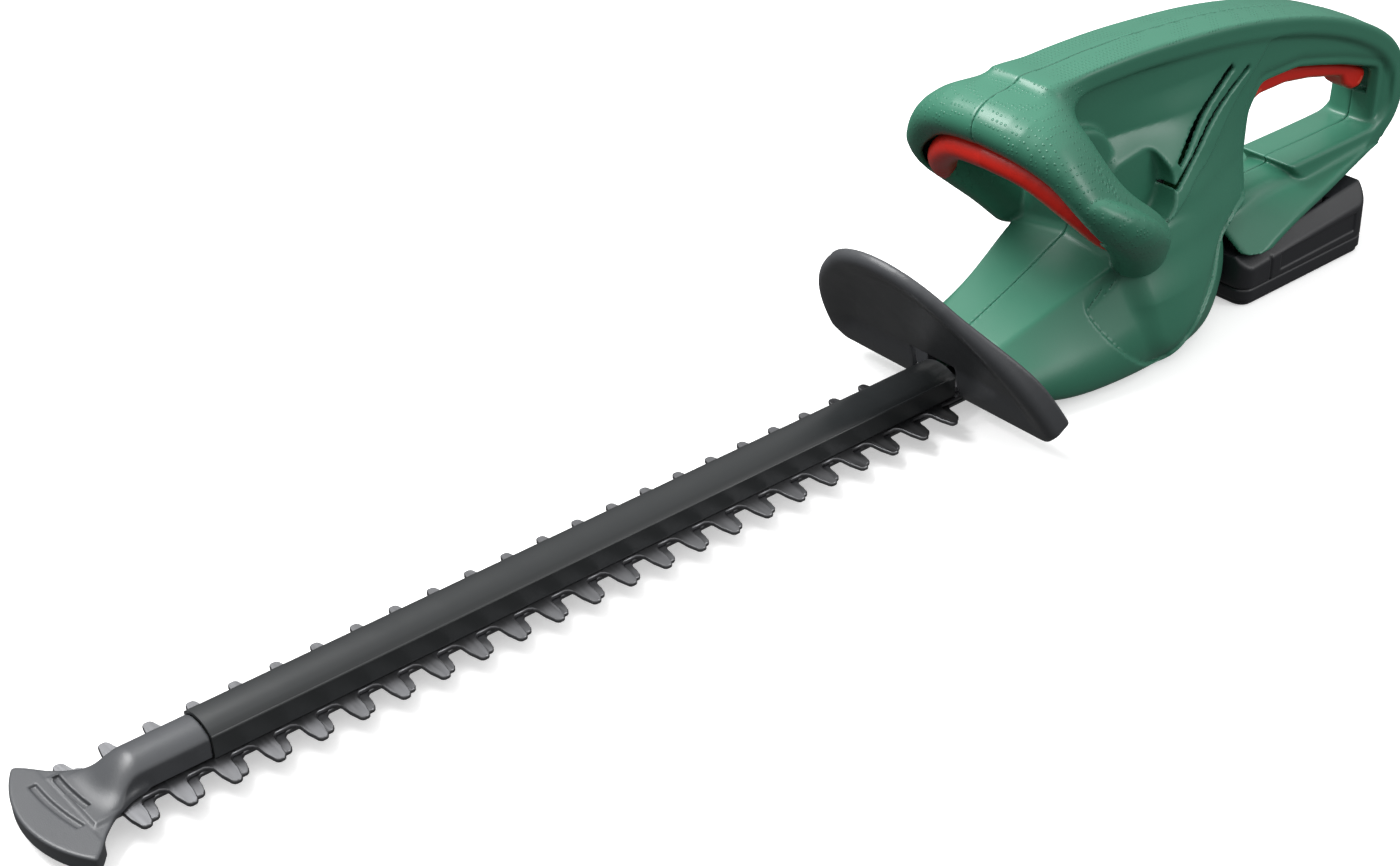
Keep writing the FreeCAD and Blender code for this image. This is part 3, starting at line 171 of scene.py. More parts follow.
def extrusion(outline_distance, side_distance, radius):
    """An outline given thickness, with its edges rounded by a radius."""
    a, b = outline_distance + radius, side_distance + radius
    outer = np.sqrt(np.maximum(a, 0) ** 2 + np.maximum(b, 0) ** 2)
    return np.minimum(np.maximum(a, b), 0) + outer - radius


def tube(s, y, z, path, radii, wide):
    """A bar along a path of (s, y, z) points whose section is wide times broader along s."""
    points, radii = np.asarray(path, float), np.asarray(radii, float)
    scale = np.array([1 / wide, 1, 1])
    q = points * scale
    best = np.full(np.broadcast(s, y, z).shape, 1e9)
    for k in range(len(q) - 1):
        edge = q[k + 1] - q[k]
        du, dv, dw = s / wide - q[k][0], y - q[k][1], z - q[k][2]
        t = np.clip((du * edge[0] + dv * edge[1] + dw * edge[2]) / (edge @ edge), 0, 1)
        gap = (du - t * edge[0]) ** 2 + (dv - t * edge[1]) ** 2 + (dw - t * edge[2]) ** 2
        best = np.minimum(best, np.sqrt(gap) - (radii[k] + t * (radii[k + 1] - radii[k])))
    return best


def smooth_path(path, radii, divisions=5):
    """More points along a path, on a smooth curve."""
    count = np.arange(len(path))
    at = np.linspace(0, len(path) - 1, (len(path) - 1) * divisions + 1)
    columns = [curve(count, [p[k] for p in path], at) for k in (0, 1, 2)]
    return np.stack(columns, 1), curve(count, radii, at)


# ---------------------------------------------------------------- meshes

def grid_field(field, low, high, cell):
    """The field's values on a grid, worked out in slabs to stay in the cache."""
    axes = [np.arange(low[k], high[k] + cell, cell) for k in (0, 1, 2)]
    y, z = axes[1][None, :, None], axes[2][None, None, :]
    slabs = []
    for start in range(0, len(axes[0]), 8):
        s = axes[0][start:start + 8][:, None, None]
        s3, y3, z3 = np.broadcast_arrays(s, y, z)
        slabs.append(field(s3, y3, z3).astype(np.float32))
    return axes, np.concatenate(slabs)


def surface(field, low, high, cell, polish=2):
    """Vertices and faces of a field's zero surface: one vertex in each cell that it crosses."""
    axes, values = grid_field(field, low, high, cell)
    inside = values < 0
    corners = [(i, j, k) for i in (0, 1) for j in (0, 1) for k in (0, 1)]
    shape = [n - 1 for n in values.shape]
    count = np.zeros(shape, np.int8)
    for i, j, k in corners:
        count += inside[i:i + shape[0], j:j + shape[1], k:k + shape[2]]
    cells = np.argwhere((count > 0) & (count < 8))
    index = np.full(shape, -1, np.int32)
    index[tuple(cells.T)] = np.arange(len(cells))
    corner_values = [values[cells[:, 0] + i, cells[:, 1] + j, cells[:, 2] + k] for i, j, k in corners]
    total, crossings = np.zeros((len(cells), 3)), np.zeros(len(cells))
    for a in range(8):
        for b in range(a + 1, 8):
            ca, cb = np.array(corners[a]), np.array(corners[b])
            if np.abs(ca - cb).sum() != 1:
                continue
            va, vb = corner_values[a], corner_values[b]
            crosses = (va < 0) != (vb < 0)
            t = np.where(crosses, va / np.where(crosses, va - vb, 1), 0)
            total += np.where(crosses[:, None], ca + t[:, None] * (cb - ca), 0)
            crossings += crosses
    points = np.array(low) + (cells + total / crossings[:, None]) * cell
    points = drawn_to_surface(field, points, cell, polish)
    faces = []
    for axis in range(3):
        one, two = [k for k in (0, 1, 2) if k != axis]
        first = np.take(inside, np.arange(values.shape[axis] - 1), axis)
        second = np.take(inside, np.arange(1, values.shape[axis]), axis)
        edges = np.argwhere(first != second)
        ok = (edges[:, one] > 0) & (edges[:, two] > 0)
        ok &= (edges[:, one] < shape[one]) & (edges[:, two] < shape[two])
        edges = edges[ok]
        quad = []
        for da, db in ((-1, -1), (0, -1), (0, 0), (-1, 0)):
            c = edges.copy()
            c[:, one] += da
            c[:, two] += db
            quad.append(index[tuple(c.T)])
        quad = np.stack(quad, 1)
        outward = first[tuple(edges.T)] != (axis == 1)
        quad[~outward] = quad[~outward][:, ::-1]
        faces.append(quad)
    return points, np.concatenate(faces)


def largest_part(points, faces):
    """Only the largest connected part of a mesh, without stray fragments."""
    labels = np.arange(len(points))
    corners = faces.shape[1]
    while True:
        lowest = labels[faces].min(1)
        spread = labels.copy()
        np.minimum.at(spread, faces.ravel(), np.repeat(lowest, corners))
        spread = spread[spread]
        if np.array_equal(spread, labels):
            break
        labels = spread
    names, counts = np.unique(labels, return_counts=True)
    kept = labels == names[np.argmax(counts)]
    place = np.cumsum(kept) - 1
    return points[kept], place[faces[kept[faces[:, 0]]]]


def drawn_to_surface(field, points, cell, times):
    """Moves points onto the zero surface along the field's slope."""
    nudge = 0.05
    for _ in range(times):
        s, y, z = points.T
        value = field(s, y, z)
        slope = np.stack([field(s + nudge, y, z), field(s, y + nudge, z), field(s, y, z + nudge)], 1)
        slope = (slope - value[:, None]) / nudge
        length = np.maximum((slope ** 2).sum(1), 0.05)
        move = -(value / length)[:, None] * slope
        far = np.maximum(np.linalg.norm(move, axis=1) / (0.5 * cell), 1)
        points = points + move / far[:, None]
    return points


def add_mesh(name, points, faces, material, smooth=True):
    """A mesh object from (s, y, z) points in millimetres."""
    mesh = bpy.data.meshes.new(name)
    place = np.asarray(points, float) * MM + np.array([FRONT, 0, 0])
    mesh.from_pydata(place.tolist(), [], [list(map(int, f)) for f in faces])
    mesh.update()
    if smooth:
        mesh.shade_smooth()
    mesh.materials.append(material)
    obj = bpy.data.objects.new(name, mesh)
    bpy.context.scene.collection.objects.link(obj)
    return obj


def field_piece(name, field, low, high, cell, material, body, nodes):
    """A piece made from a field, riding on a body and standing for CAD nodes."""
    points, faces = largest_part(*surface(field, low, high, cell * (1.0)))
    obj = add_mesh(name, points, faces, material)
    return finish_piece(obj, body, nodes)


def finish_piece(obj, body, nodes):
    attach(obj, body)
    if nodes:
        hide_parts(*nodes)
    return obj


# ---------------------------------------------------------------- materials

def new_material(name, colour, roughness, metallic=0.0, specular=0.5, coat=0.0):
    """A material with a shader and a helper that adds nodes to it."""
    material = bpy.data.materials.new(name)
    material.use_nodes = True
    tree = material.node_tree
    shader = tree.nodes["Principled BSDF"]
    shader.inputs["Base Color"].default_value = (*colour, 1)
    shader.inputs["Roughness"].default_value = roughness
    shader.inputs["Metallic"].default_value = metallic
    shader.inputs["Specular IOR Level"].default_value = specular
    shader.inputs["Coat Weight"].default_value = coat
    shader.inputs["Coat Roughness"].default_value = 0.3
    return material, tree, shader


def add_node(tree, kind, links=(), **values):
    """A node with its sockets set by name, and its inputs linked from (socket name, output)."""
    made = tree.nodes.new(kind)
    for key, value in values.items():
        setattr(made, key, value)
    for socket, source in links:
        if hasattr(source, "is_output"):
            tree.links.new(source, made.inputs[socket])
        else:
            made.inputs[socket].default_value = source
    return made


def place_of(tree):
    """The piece's own coordinates, in metres."""
    return add_node(tree, "ShaderNodeTexCoord").outputs["Object"]


def noise(tree, scale, detail=3.0, roughness=0.5):
    return add_node(tree, "ShaderNodeTexNoise", [
        ("Vector", place_of(tree)), ("Scale", scale), ("Detail", detail), ("Roughness", roughness)])


def remap(tree, value, low, high, to_low, to_high):
    return add_node(tree, "ShaderNodeMapRange", [
        ("Value", value), ("From Min", low), ("From Max", high), ("To Min", to_low), ("To Max", to_high),
    ]).outputs["Result"]


def painted_edge_highlight(tree, shader, colour, highlight_colour, low=0.52, high=0.62):
    """Painted highlight: blends the colour towards a paler one on convex edges, where light would catch them."""
    pointed = add_node(tree, "ShaderNodeNewGeometry").outputs["Pointiness"]
    highlight_amount = remap(tree, pointed, low, high, 0, 1)
    mix = add_node(tree, "ShaderNodeMix", [("Factor", highlight_amount)], data_type="RGBA")
    mix.inputs["A"].default_value = (*colour, 1)
    mix.inputs["B"].default_value = (*highlight_colour, 1)
    tree.links.new(mix.outputs["Result"], shader.inputs["Base Color"])
    return mix


def add_grain(tree, shader, scale, strength, distance=0.0002, extra=None):
    """A fine moulded grain, as bump."""
    fine = noise(tree, scale, 2.0).outputs["Fac"]
    bump = add_node(tree, "ShaderNodeBump",
                    [("Height", fine), ("Strength", strength), ("Distance", distance)])
    if extra is not None:
        tree.links.new(extra.outputs["Normal"], bump.inputs["Normal"])
    tree.links.new(bump.outputs["Normal"], shader.inputs["Normal"])
    return bump


def vary_roughness(tree, shader, scale, low, high):
    value = noise(tree, scale, 4.0).outputs["Fac"]
    tree.links.new(remap(tree, value, 0.3, 0.7, low, high), shader.inputs["Roughness"])


def plastic(name, colour, roughness, grain=0.12, grain_scale=1800, highlight_colour=None, specular=0.45):
    """Moulded plastic: fine grain, slightly uneven gloss, and a painted highlight that makes convex edges paler."""
    material, tree, shader = new_material(name, colour, roughness, specular=specular)
    vary_roughness(tree, shader, 60, roughness - 0.04, roughness + 0.05)
    add_grain(tree, shader, grain_scale, grain)
    # The painted edge highlight's colour: a paler tone of the plastic.
    highlight_colour = highlight_colour or tuple(min(1, c * 1.35 + 0.008) for c in colour)
    painted_edge_highlight(tree, shader, colour, highlight_colour)
    return material


GREEN = (0.042, 0.185, 0.118)
# The paler green painted along convex edges as a highlight.
GREEN_EDGE_HIGHLIGHT = (0.085, 0.270, 0.190)


def green_plastic():
    """The housing's satin green: smooth below, with a grid of small raised dots on the grips."""
    material, tree, shader = new_material("satin_green", GREEN, 0.36, specular=0.5)
    vary_roughness(tree, shader, 45, 0.33, 0.41)
    dots = dot_bump(tree)
    add_grain(tree, shader, 1500, 0.08, extra=dots)
    # Painted highlight: the green turns paler along convex edges.
    painted_edge_highlight(tree, shader, GREEN, GREEN_EDGE_HIGHLIGHT, 0.53, 0.60)
    return material


def dot_bump(tree):
    """Raised dots in even rows, where the mesh's grip attribute is 1."""
    grip = add_node(tree, "ShaderNodeAttribute", attribute_name="grip").outputs["Fac"]
    cells = add_node(tree, "ShaderNodeTexVoronoi", [("Vector", place_of(tree)), ("Scale", 400.0),
                                                   ("Randomness", 0.12)], distance="EUCLIDEAN")
    dot = remap(tree, cells.outputs["Distance"], 0.16, 0.30, 1, 0)
    height = add_node(tree, "ShaderNodeMath", [(0, dot), (1, grip)], operation="MULTIPLY").outputs["Value"]
    return add_node(tree, "ShaderNodeBump", [("Height", height), ("Strength", 0.6), ("Distance", 0.0004)])


def steel(name, colour, roughness, streak=(1, 1, 1), bump=0.03):
    """Ground or drawn steel: fine streaks along one direction."""
    material, tree, shader = new_material(name, colour, roughness, metallic=1.0)
    stretched = add_node(tree, "ShaderNodeMapping", [("Vector", place_of(tree)), ("Scale", streak)])
    lines = add_node(tree, "ShaderNodeTexNoise", [
        ("Vector", stretched.outputs["Vector"]), ("Scale", 900.0), ("Detail", 4.0)]).outputs["Fac"]
    tree.links.new(remap(tree, lines, 0.3, 0.7, roughness - 0.06, roughness + 0.08),
                   shader.inputs["Roughness"])
    bumped = add_node(tree, "ShaderNodeBump", [("Height", lines), ("Strength", bump), ("Distance", 0.0001)])
    tree.links.new(bumped.outputs["Normal"], shader.inputs["Normal"])
    # Painted highlight: the steel turns paler along convex edges.
    painted_edge_highlight(tree, shader, colour, tuple(min(1, c * 1.2 + 0.03) for c in colour))
    return material


def materials():
    """Every finish by the record's slot name."""
    black = (0.016, 0.018, 0.019)
    return {
        "green_shell": green_plastic(),
        "green_grip": plastic("grip_green", GREEN, 0.42, 0.2),
        "black_plastic": plastic("guard_black", (0.058, 0.061, 0.066), 0.36, 0.3, 2200),
        "cover_black": plastic("cover_black", black, 0.36, 0.15, 2600),
        # The last colour is the painted highlight on the lever's convex edges.
        "red_plastic": plastic("lever_red", (0.68, 0.022, 0.012), 0.34, 0.05, 1500, (0.8, 0.10, 0.06)),
        "blade_steel": steel("blade_steel", (0.17, 0.172, 0.180), 0.38, (1, 0.06, 1)),
        "screw_steel": steel("screw_steel", (0.45, 0.45, 0.47), 0.30),
        "gear_steel": steel("gear_steel", (0.40, 0.40, 0.42), 0.35),
        "case_metal": steel("cast_case", (0.42, 0.43, 0.44), 0.55, (1, 1, 1), 0.2),
        "can_steel": steel("can_steel", (0.50, 0.50, 0.50), 0.28, (1, 1, 0.05)),
        "magnet": plastic("magnet_grey", (0.06, 0.06, 0.065), 0.5, 0.3, 900),
        "copper": steel("copper", (0.72, 0.34, 0.18), 0.3),
        "inner_plastic": plastic("inner_black", (0.02, 0.02, 0.022), 0.5, 0.2, 900),
        "board_green": plastic("board_green", (0.012, 0.10, 0.03), 0.3, 0.1, 1200),
        "battery_dark": plastic("battery_dark", (0.020, 0.021, 0.024), 0.38, 0.25, 2400),
        "cell_wrap": plastic("cell_wrap", (0.05, 0.18, 0.40), 0.25, 0.03, 700),
        "battery_button_red": plastic("button_red", (0.55, 0.02, 0.015), 0.38, 0.1, 1500),
    }


FINISH = materials()


def dress_frame():
    """Gives every CAD node that stays in view the finish of its material slot."""
    slots = {}
    for entry in frame["record"].get("materials", []):
        for name in entry.get("nodes", []) or []:
            slots[name] = entry["slot"]
    for name, obj in frame["nodes"].items():
        slot = slots.get(name)
        if slot is None and obj.data.materials and obj.data.materials[0]:
            slot = obj.data.materials[0].name.split(".")[0]
        finish = FINISH.get(slot, FINISH["inner_plastic"])
        obj.data.materials.clear()
        obj.data.materials.append(finish)


dress_frame()


# ---------------------------------------------------------------- housing

WALL = 2.6
HOLLOW_BACK = 688
PANEL_DEPTH = 1.9
BAY_FRONT = 682.4
BAY = ((38.8, 30), (44, 25))
GATE_BACK, GATE_HALF, GATE_LOW, GATE_TOP = 546, 15, 5, 22
# station, bottom, foot half, belly half, belly height, crease half, crease height, crown height
BELLY = np.array([
    (508, 10.0, 37, 45, 18, 21.5, 34, 37),
    (545, 1.4, 43, 52, 14, 27.5, 48, 51.5),
    (580, 0.4, 47, 56, 14, 34.5, 62, 67),
    (615, 0.4, 46, 55, 17, 39.0, 73, 79),
    (648, 1.0, 38, 49, 20, 32.0, 66, 76),
    (682, 7.0, 22, 29, 26, 20.0, 50, 60),
], float)
SPINE = [(545, 124), (534, 142), (541, 159), (566, 162.6), (605, 162.6), (640, 160.5), (680, 156.5),
         (720, 149.5), (762, 138.5), (799, 123.5), (825, 106.5), (837.5, 86), (835.5, 64), (824, 51),
         (806, 47), (700, 47), (684, 46), (668, 41), (650, 27), (632, 11), (612, 3), (592, 14), (584, 50), (583, 90),
         (578, 118)]
HAND_OPENING = [(701, 52), (701, 78), (704, 101), (713, 113), (743, 113), (762, 108.5), (784, 102.5),
                (815, 92), (815, 72), (814, 58), (806, 52)]
POCKET = [(548, 100), (585, 80), (612, 73), (621, 81), (625, 95), (618, 109), (601, 120), (579, 128),
          (552, 135)]
PANEL = [(699, 124), (709, 134), (718, 139), (766, 130), (811, 112), (823, 100), (827, 75), (823, 53),
         (812, 48), (736, 60), (690, 57), (670, 46), (656, 35), (635, 22), (622, 11), (604, 3), (583, 13),
         (567, 29), (560, 46), (567, 59), (593, 68), (622, 78), (643, 89), (664, 97)]

spine_outline = Outline(rounded_line(SPINE), 2.0)
TRIGGER_ROOM = [(699, 90), (706, 112), (716, 131), (742, 131), (790, 112), (821, 102), (821, 76), (800, 76),
                (780, 90)]
TRIGGER_ROOM_HALF = 8.7
trigger_room = Outline(TRIGGER_ROOM, 0.5)
hand_outline = Outline(HAND_OPENING, 2.5)
pocket_outline = Outline(POCKET, 3.0)
panel_outline = Outline(rounded_line(PANEL), 0.8)


def section(s, column):
    return curve(BELLY[:, 0], BELLY[:, column], s)


def belly(s, y, z):
    """The nose and belly: a flat bottom, a round flank, a crease and a low roof."""
    stations = np.clip(s, BELLY[0, 0], BELLY[-1, 0])
    bottom, foot, half, low, crease, high, crown = [section(stations, k) for k in range(1, 8)]

    def plane(y0, z0, y1, z1):
        dy, dz = y1 - y0, z1 - z0
        length = np.sqrt(dy * dy + dz * dz)
        return ((y - y0) * dz - (z - z0) * dy) / length

    under = plane(foot, bottom, half, low)
    flank = plane(half, low, crease, high)
    roof = -plane(0, crown, crease, high)
    solid = both(both(under, flank, 16), bottom - z, 7)
    solid = both(solid, roof, 1.2)
    ends = np.maximum(BELLY[0, 0] - s, s - 681)
    return both(solid, ends, 6)


FLANK_Z = [20, 40, 60, 80, 100, 120, 135, 150]
FLANK_S = [560, 590, 620, 645, 665, 690, 715, 740]
FLANK = np.array([
    [52, 54, 54, 48, 40, 32, 21, 18],
    [50, 52, 51, 45, 38, 30, 20, 18],
    [40, 43, 44, 40, 34, 26, 19, 18],
    [30, 36, 38, 35, 29, 22, 18, 18],
    [20, 27, 31, 29, 25, 20, 18, 18],
    [12, 13, 17, 20, 20, 18.5, 17.5, 17.5],
    [12, 13, 15, 16.5, 17, 17.5, 17.5, 17.5],
    [12, 13, 15, 16.5, 17, 17.5, 17.5, 17.5],
], float)


def flank_half(s, z):
    """Half the width of the tower and rear handle, by station and height."""
    rows = [curve(FLANK_S, row, s) for row in FLANK]
    z = np.clip(z, FLANK_Z[0], FLANK_Z[-1])
    result = np.zeros(np.broadcast(s, z).shape)
    for k in range(len(FLANK_Z) - 1):
        a, b = FLANK_Z[k], FLANK_Z[k + 1]
        t = step(a, b, z) * 0.35 + np.clip((z - a) / (b - a), 0, 1) * 0.65
        piece = rows[k] + (rows[k + 1] - rows[k]) * t
        result = np.where((z >= a) & (z <= b), piece, result)
    return result


def tower(s, y, z):
    """The tower, the spine and the rear handle around the hand opening."""
    edge = spine_outline(s, z)
    half = flank_half(s, z)
    body = extrusion(edge, (y - half) * 0.93, 13.0)
    opening = hand_outline(s, z)
    body = both(body, -opening, 9.0)
    return body


FOOT_S = [676, 702, 768, 822]


def roof_height(s, y):
    """The height of the battery foot's roof."""
    half = curve(FOOT_S, [42, 39, 29, 18], s)
    rim = curve(FOOT_S, [22, 33, 46, 52], s)
    t = np.clip(y / half, 0, 1.2)
    return 53 - (53 - rim) * t, half, rim


def foot(s, y, z):
    """The sloping roof that holds the battery."""
    place = np.clip(s, FOOT_S[0], FOOT_S[-1])
    roof, half, rim = roof_height(place, y)
    top = (z - roof) * 0.87
    edge = y - half
    under = rim - 4.5 - z
    solid = both(both(top, edge, 2.0), under, 1.5)
    ends = np.maximum(686 - s, s - FOOT_S[-1])
    return both(solid, ends, 3.0)


def under_foot(s, y, z):
    """The room under the roof for the rails and the battery's top."""
    place = np.clip(s, FOOT_S[0], FOOT_S[-1])
    roof, half, rim = roof_height(place, y)
    ends = np.maximum(BAY_FRONT - s, s - 806)
    return np.maximum(np.maximum((z - roof) * 0.87 + WALL, y - half + WALL), ends)


BOW = [(590, 42, 68), (581, 49, 80), (569, 56, 93), (557, 59, 106), (547, 55, 120), (539, 43, 134),
       (533, 24, 143), (531, 0, 146)]
BOW_RADII = [11.2, 12.2, 13.2, 14.2, 14.2, 13.7, 13.7, 13.7]
bow_path, bow_radii = smooth_path(BOW, BOW_RADII, 3)
LEVER = [(556, 56, 86), (548, 53, 97), (539, 44, 111), (530, 24, 125), (527, 0, 128.5)]
lever_path, lever_radii = smooth_path(LEVER, [1.0, 5.4, 7.6, 8.0, 8.0], 4)


def bow(s, y, z):
    """One side of the bow handle: a broad bar whose top slopes down towards the back."""
    slope = math.hypot(12, 20)
    limit = curve([0, 20, 35, 50, 60], [440, 425, 409, 392.6, 381], np.clip(y, 0, 60))
    return both(tube(s, y, z, bow_path, bow_radii, 1.5), (12 * s + 20 * z) / slope - limit - 1.5, 13)


def bow_channel(s, y, z):
    """The open channel under the bow, where the lever sits."""
    path = lever_path + np.array([-6.0, 0, -4.5])
    return np.maximum(tube(s, y, z, path, lever_radii + 3.0, 1.35), 96 - z)


VENTS = (((630, 99), (683, 133), 2.0), ((624, 89), (696, 129), 1.5))


def vents(s, y, z):
    """Two slanted slots in the tower's side."""
    result = np.full(np.broadcast(s, y, z).shape, 1e3)
    for (low_s, low_z), (high_s, high_z), half in VENTS:
        length = math.hypot(high_s - low_s, high_z - low_z)
        along_s, along_z = (high_s - low_s) / length, (high_z - low_z) / length
        along = (s - low_s) * along_s + (z - low_z) * along_z
        across = (z - low_z) * along_s - (s - low_s) * along_z
        slot = np.maximum(np.abs(across) - half, np.abs(along - length / 2) - length / 2)
        result = np.minimum(result, slot)
    return np.maximum(result, 12 - y)


GRIP_REACH = 11.5


def spine_grip(s, y, z):
    """The soft grip along the spine, which overhangs the flank in front and lies flush behind."""
    edge = spine_outline(s, z)
    low_end = 100 - 55 * step(700, 760, s)
    band = np.maximum(np.maximum(edge, -edge - GRIP_REACH), np.maximum(546 - s, low_end - z))
    return extrusion(band, y - 18.6, 3.0)


def foot_recess(s, y, z):
    """The shallow framed field on the side of the battery foot."""
    return np.maximum(np.abs(s - 719.5) - 24.5, np.abs(z - 50.5 + (s - 719.5) * -0.06) - 6)


def housing_outside(s, y, z):
    """The outer surface of the green housing with its bow handle, on one side."""
    body = join(tower(s, y, z), belly(s, y, z), 5)
    body = join(body, foot(s, y, z), 7)
    panel = panel_outline(s, z)
    flank_from = curve([560, 590, 610, 640, 660], [33, 33, 24, 14, 6], np.clip(s, 560, 660))
    inside_panel = step(-0.4, 0.8, -panel) * step(0, 3, y - flank_from)
    opening_edge = step(1.0, 6.0, hand_outline(s, z))
    seam = np.clip(1 - np.abs(panel + 0.2) / 0.8, 0, 1) * step(720, 690, s) * step(0, 3, y - flank_from)
    body = body + (PANEL_DEPTH * inside_panel + 0.5 * seam) * opening_edge
    body = body + 1.2 * step(0.5, -0.5, foot_recess(s, y, z)) * step(24, 27, y)
    recess = both(pocket_outline(s, z), 22 - y, 3)
    body = cut(body, recess, 1.5)
    grip = join(spine_grip(s, y, z), bow(s, y, z), 18)
    return join(body, grip, 3)




def shell(s, y, z):
    """The housing as a wall, open for the battery, the blades, the lever and the trigger."""
    outside = housing_outside(s, y, z)
    hollow = np.maximum(outside + WALL, s - HOLLOW_BACK)
    wall = np.maximum(outside, -hollow)
    wall = cut(wall, under_foot(s, y, z), 0.4)
    for half, top in BAY:
        wall = np.maximum(wall, -np.maximum(np.maximum(BAY_FRONT - s, y - half), z - top))
    wall = cut(wall, bow_channel(s, y, z), 0.8)
    wall = np.maximum(wall, -vents(s, y, z))
    wall = np.maximum(wall, -np.maximum(trigger_room(s, z), y - TRIGGER_ROOM_HALF))
    gate = np.maximum(np.maximum(s - GATE_BACK, y - GATE_HALF), np.maximum(z - GATE_TOP, GATE_LOW - z))
    return np.maximum(wall, -gate)


def half_shell(side):
    def field(s, y, z):
        return np.maximum(shell(s, np.abs(y), z), side * -y + 0.12)
    return field


def housing_piece(side, name, nodes):
    """One half of the housing, from the middle plane outwards."""
    low = [SHELL_LOW[0] - 3, -80 if side < 0 else -2, -2]
    high = [SHELL_HIGH[0] + 3, 2 if side < 0 else 80, SHELL_HIGH[2] + 3]
    obj = field_piece(name, half_shell(side), low, high, 1.15, FINISH["green_shell"], "housing",
                      nodes)
    mark_grip(obj)
    return obj


def mark_grip(obj):
    """Stores where the dotted grip is: along the spine and on the bow."""
    co = np.zeros(len(obj.data.vertices) * 3)
    obj.data.vertices.foreach_get("co", co)
    s, y, z = ((co.reshape(-1, 3) - np.array([FRONT, 0, 0])) / MM).T
    y = np.abs(y)
    spine = step(-GRIP_REACH + 0.5, -GRIP_REACH + 2, spine_outline(s, z)) * step(100, 104, z)
    arm = (1 - step(0.5, 2.5, bow(s, y, z))) * step(78, 88, z)
    attribute = obj.data.attributes.new("grip", "FLOAT", "POINT")
    attribute.data.foreach_set("value", np.clip(np.maximum(spine, arm), 0, 1).astype(np.float32))


housing_piece(-1, "shell_left", ["housing_left", "bow_handle_left"])
housing_piece(1, "shell_right", ["housing_right", "bow_handle_right"])


# ---------------------------------------------------------------- switch bar and trigger

LEVER_PIVOT = (578, 134)
TRIGGER_PIVOT = (729, 121)
PIN_HOLE = 2.55


def hole(s, z, pivot):
    """The distance to the pin's hole at a pivot."""
    return np.hypot(s - pivot[0], z - pivot[1]) - PIN_HOLE


arm_outline = Outline([(531, 126), (584, 128), (584, 139), (560, 139), (531, 134)], 0.6)


def lever_bar(s, y, z):
    """The red switch bar: broad in the middle and drawn out to a point at each end."""
    bar = tube(s, np.abs(y), z, lever_path, lever_radii, 1.25)
    arm = extrusion(arm_outline(s, z), np.abs(y) - 4.4, 1.0)
    return np.maximum(join(bar, arm, 3), -hole(s, z, LEVER_PIVOT))


TRIGGER = [(704, 96), (722, 102.5), (743, 102.5), (764, 99), (786, 93.5), (793, 91.5), (797, 85), (804, 80.5),
           (811, 80.5), (814.5, 85), (815, 90), (800, 97.5), (784, 102.5), (762, 108), (745, 111.5),
           (738, 126), (722, 126), (720, 113), (711, 108)]
trigger_outline = Outline(TRIGGER, 0.9)


def trigger_bar(s, y, z):
    """The red trigger with its hooked rear end."""
    bar = extrusion(trigger_outline(s, z), np.abs(y) - 7.9, 3.0)
    return np.maximum(bar, -hole(s, z, TRIGGER_PIVOT))


field_piece("switch_bar", lever_bar, [512, -62, 84], [588, 62, 142], 0.9, FINISH["red_plastic"],
            "front_lever", ["front_lever"])
field_piece("trigger", trigger_bar, [701, -9.5, 78], [818, 9.5, 129], 0.8, FINISH["red_plastic"],
            "rear_trigger", ["rear_trigger"])


# ---------------------------------------------------------------- hand guard and tip guard

def arc(start, stop, radius, count=14):
    """Points on an arc that bulges to the right of the way from start to stop."""
    a, b = np.array(start, float), np.array(stop, float)
    chord = b - a
    length = np.linalg.norm(chord)
    right = np.array([chord[1], -chord[0]]) / length
    rise = math.sqrt(radius * radius - length * length / 4)
    centre = (a + b) / 2 - right * rise
    first = math.atan2(*(a - centre)[::-1])
    last = math.atan2(*(b - centre)[::-1])
    if last < first:
        last += 2 * math.pi
    return [tuple(centre + radius * np.array([math.cos(t), math.sin(t)]))
            for t in np.linspace(first, last, count)]


GUARD_FOOT = (497, 8)
GUARD_LEAN = math.radians(30)
GUARD_HALF, GUARD_TOP, GUARD_DEPTH, GUARD_WALL = 78.6, 98.6, 12.8, 2.8
SHOULDER = (GUARD_HALF * 0.56, GUARD_TOP - 18)
guard_outline = Outline(
    [(8 - GUARD_HALF, 0), (GUARD_HALF - 8, 0)]
    + arc((GUARD_HALF, 9), SHOULDER, 110)
    + arc(SHOULDER, (-SHOULDER[0], SHOULDER[1]), GUARD_HALF * 0.72)
    + arc((-SHOULDER[0], SHOULDER[1]), (-GUARD_HALF, 9), 110), 1.2)


def hand_guard(s, y, z):
    """A leaning shield with a dished face and a rolled rim that is deeper low down."""
    lean_s, lean_z = math.sin(GUARD_LEAN), math.cos(GUARD_LEAN)
    v = -lean_s * (s - GUARD_FOOT[0]) + lean_z * (z - GUARD_FOOT[1])
    w = lean_z * (s - GUARD_FOOT[0]) + lean_s * (z - GUARD_FOOT[1])
    edge = guard_outline(y, v)
    face = 4.5 * step(4, 24, -edge) * step(2, 26, v)
    depth = GUARD_DEPTH - 6.5 * step(30, 88, v)
    rim = both(both(edge, face - w, 5.5), w - depth, 1.6)
    hollow = both(edge + GUARD_WALL, face + GUARD_WALL - w, 1.5)
    gate = np.maximum(np.abs(y) - 15, v - 24)
    return np.maximum(cut(rim, hollow, 0.6), -gate)


FAN_HALF, FAN_CORNER, NECK_HALF = 36.3, 12.0, 10.5
FAN_BOW = (FAN_HALF ** 2 + FAN_CORNER ** 2) / (2 * FAN_CORNER)


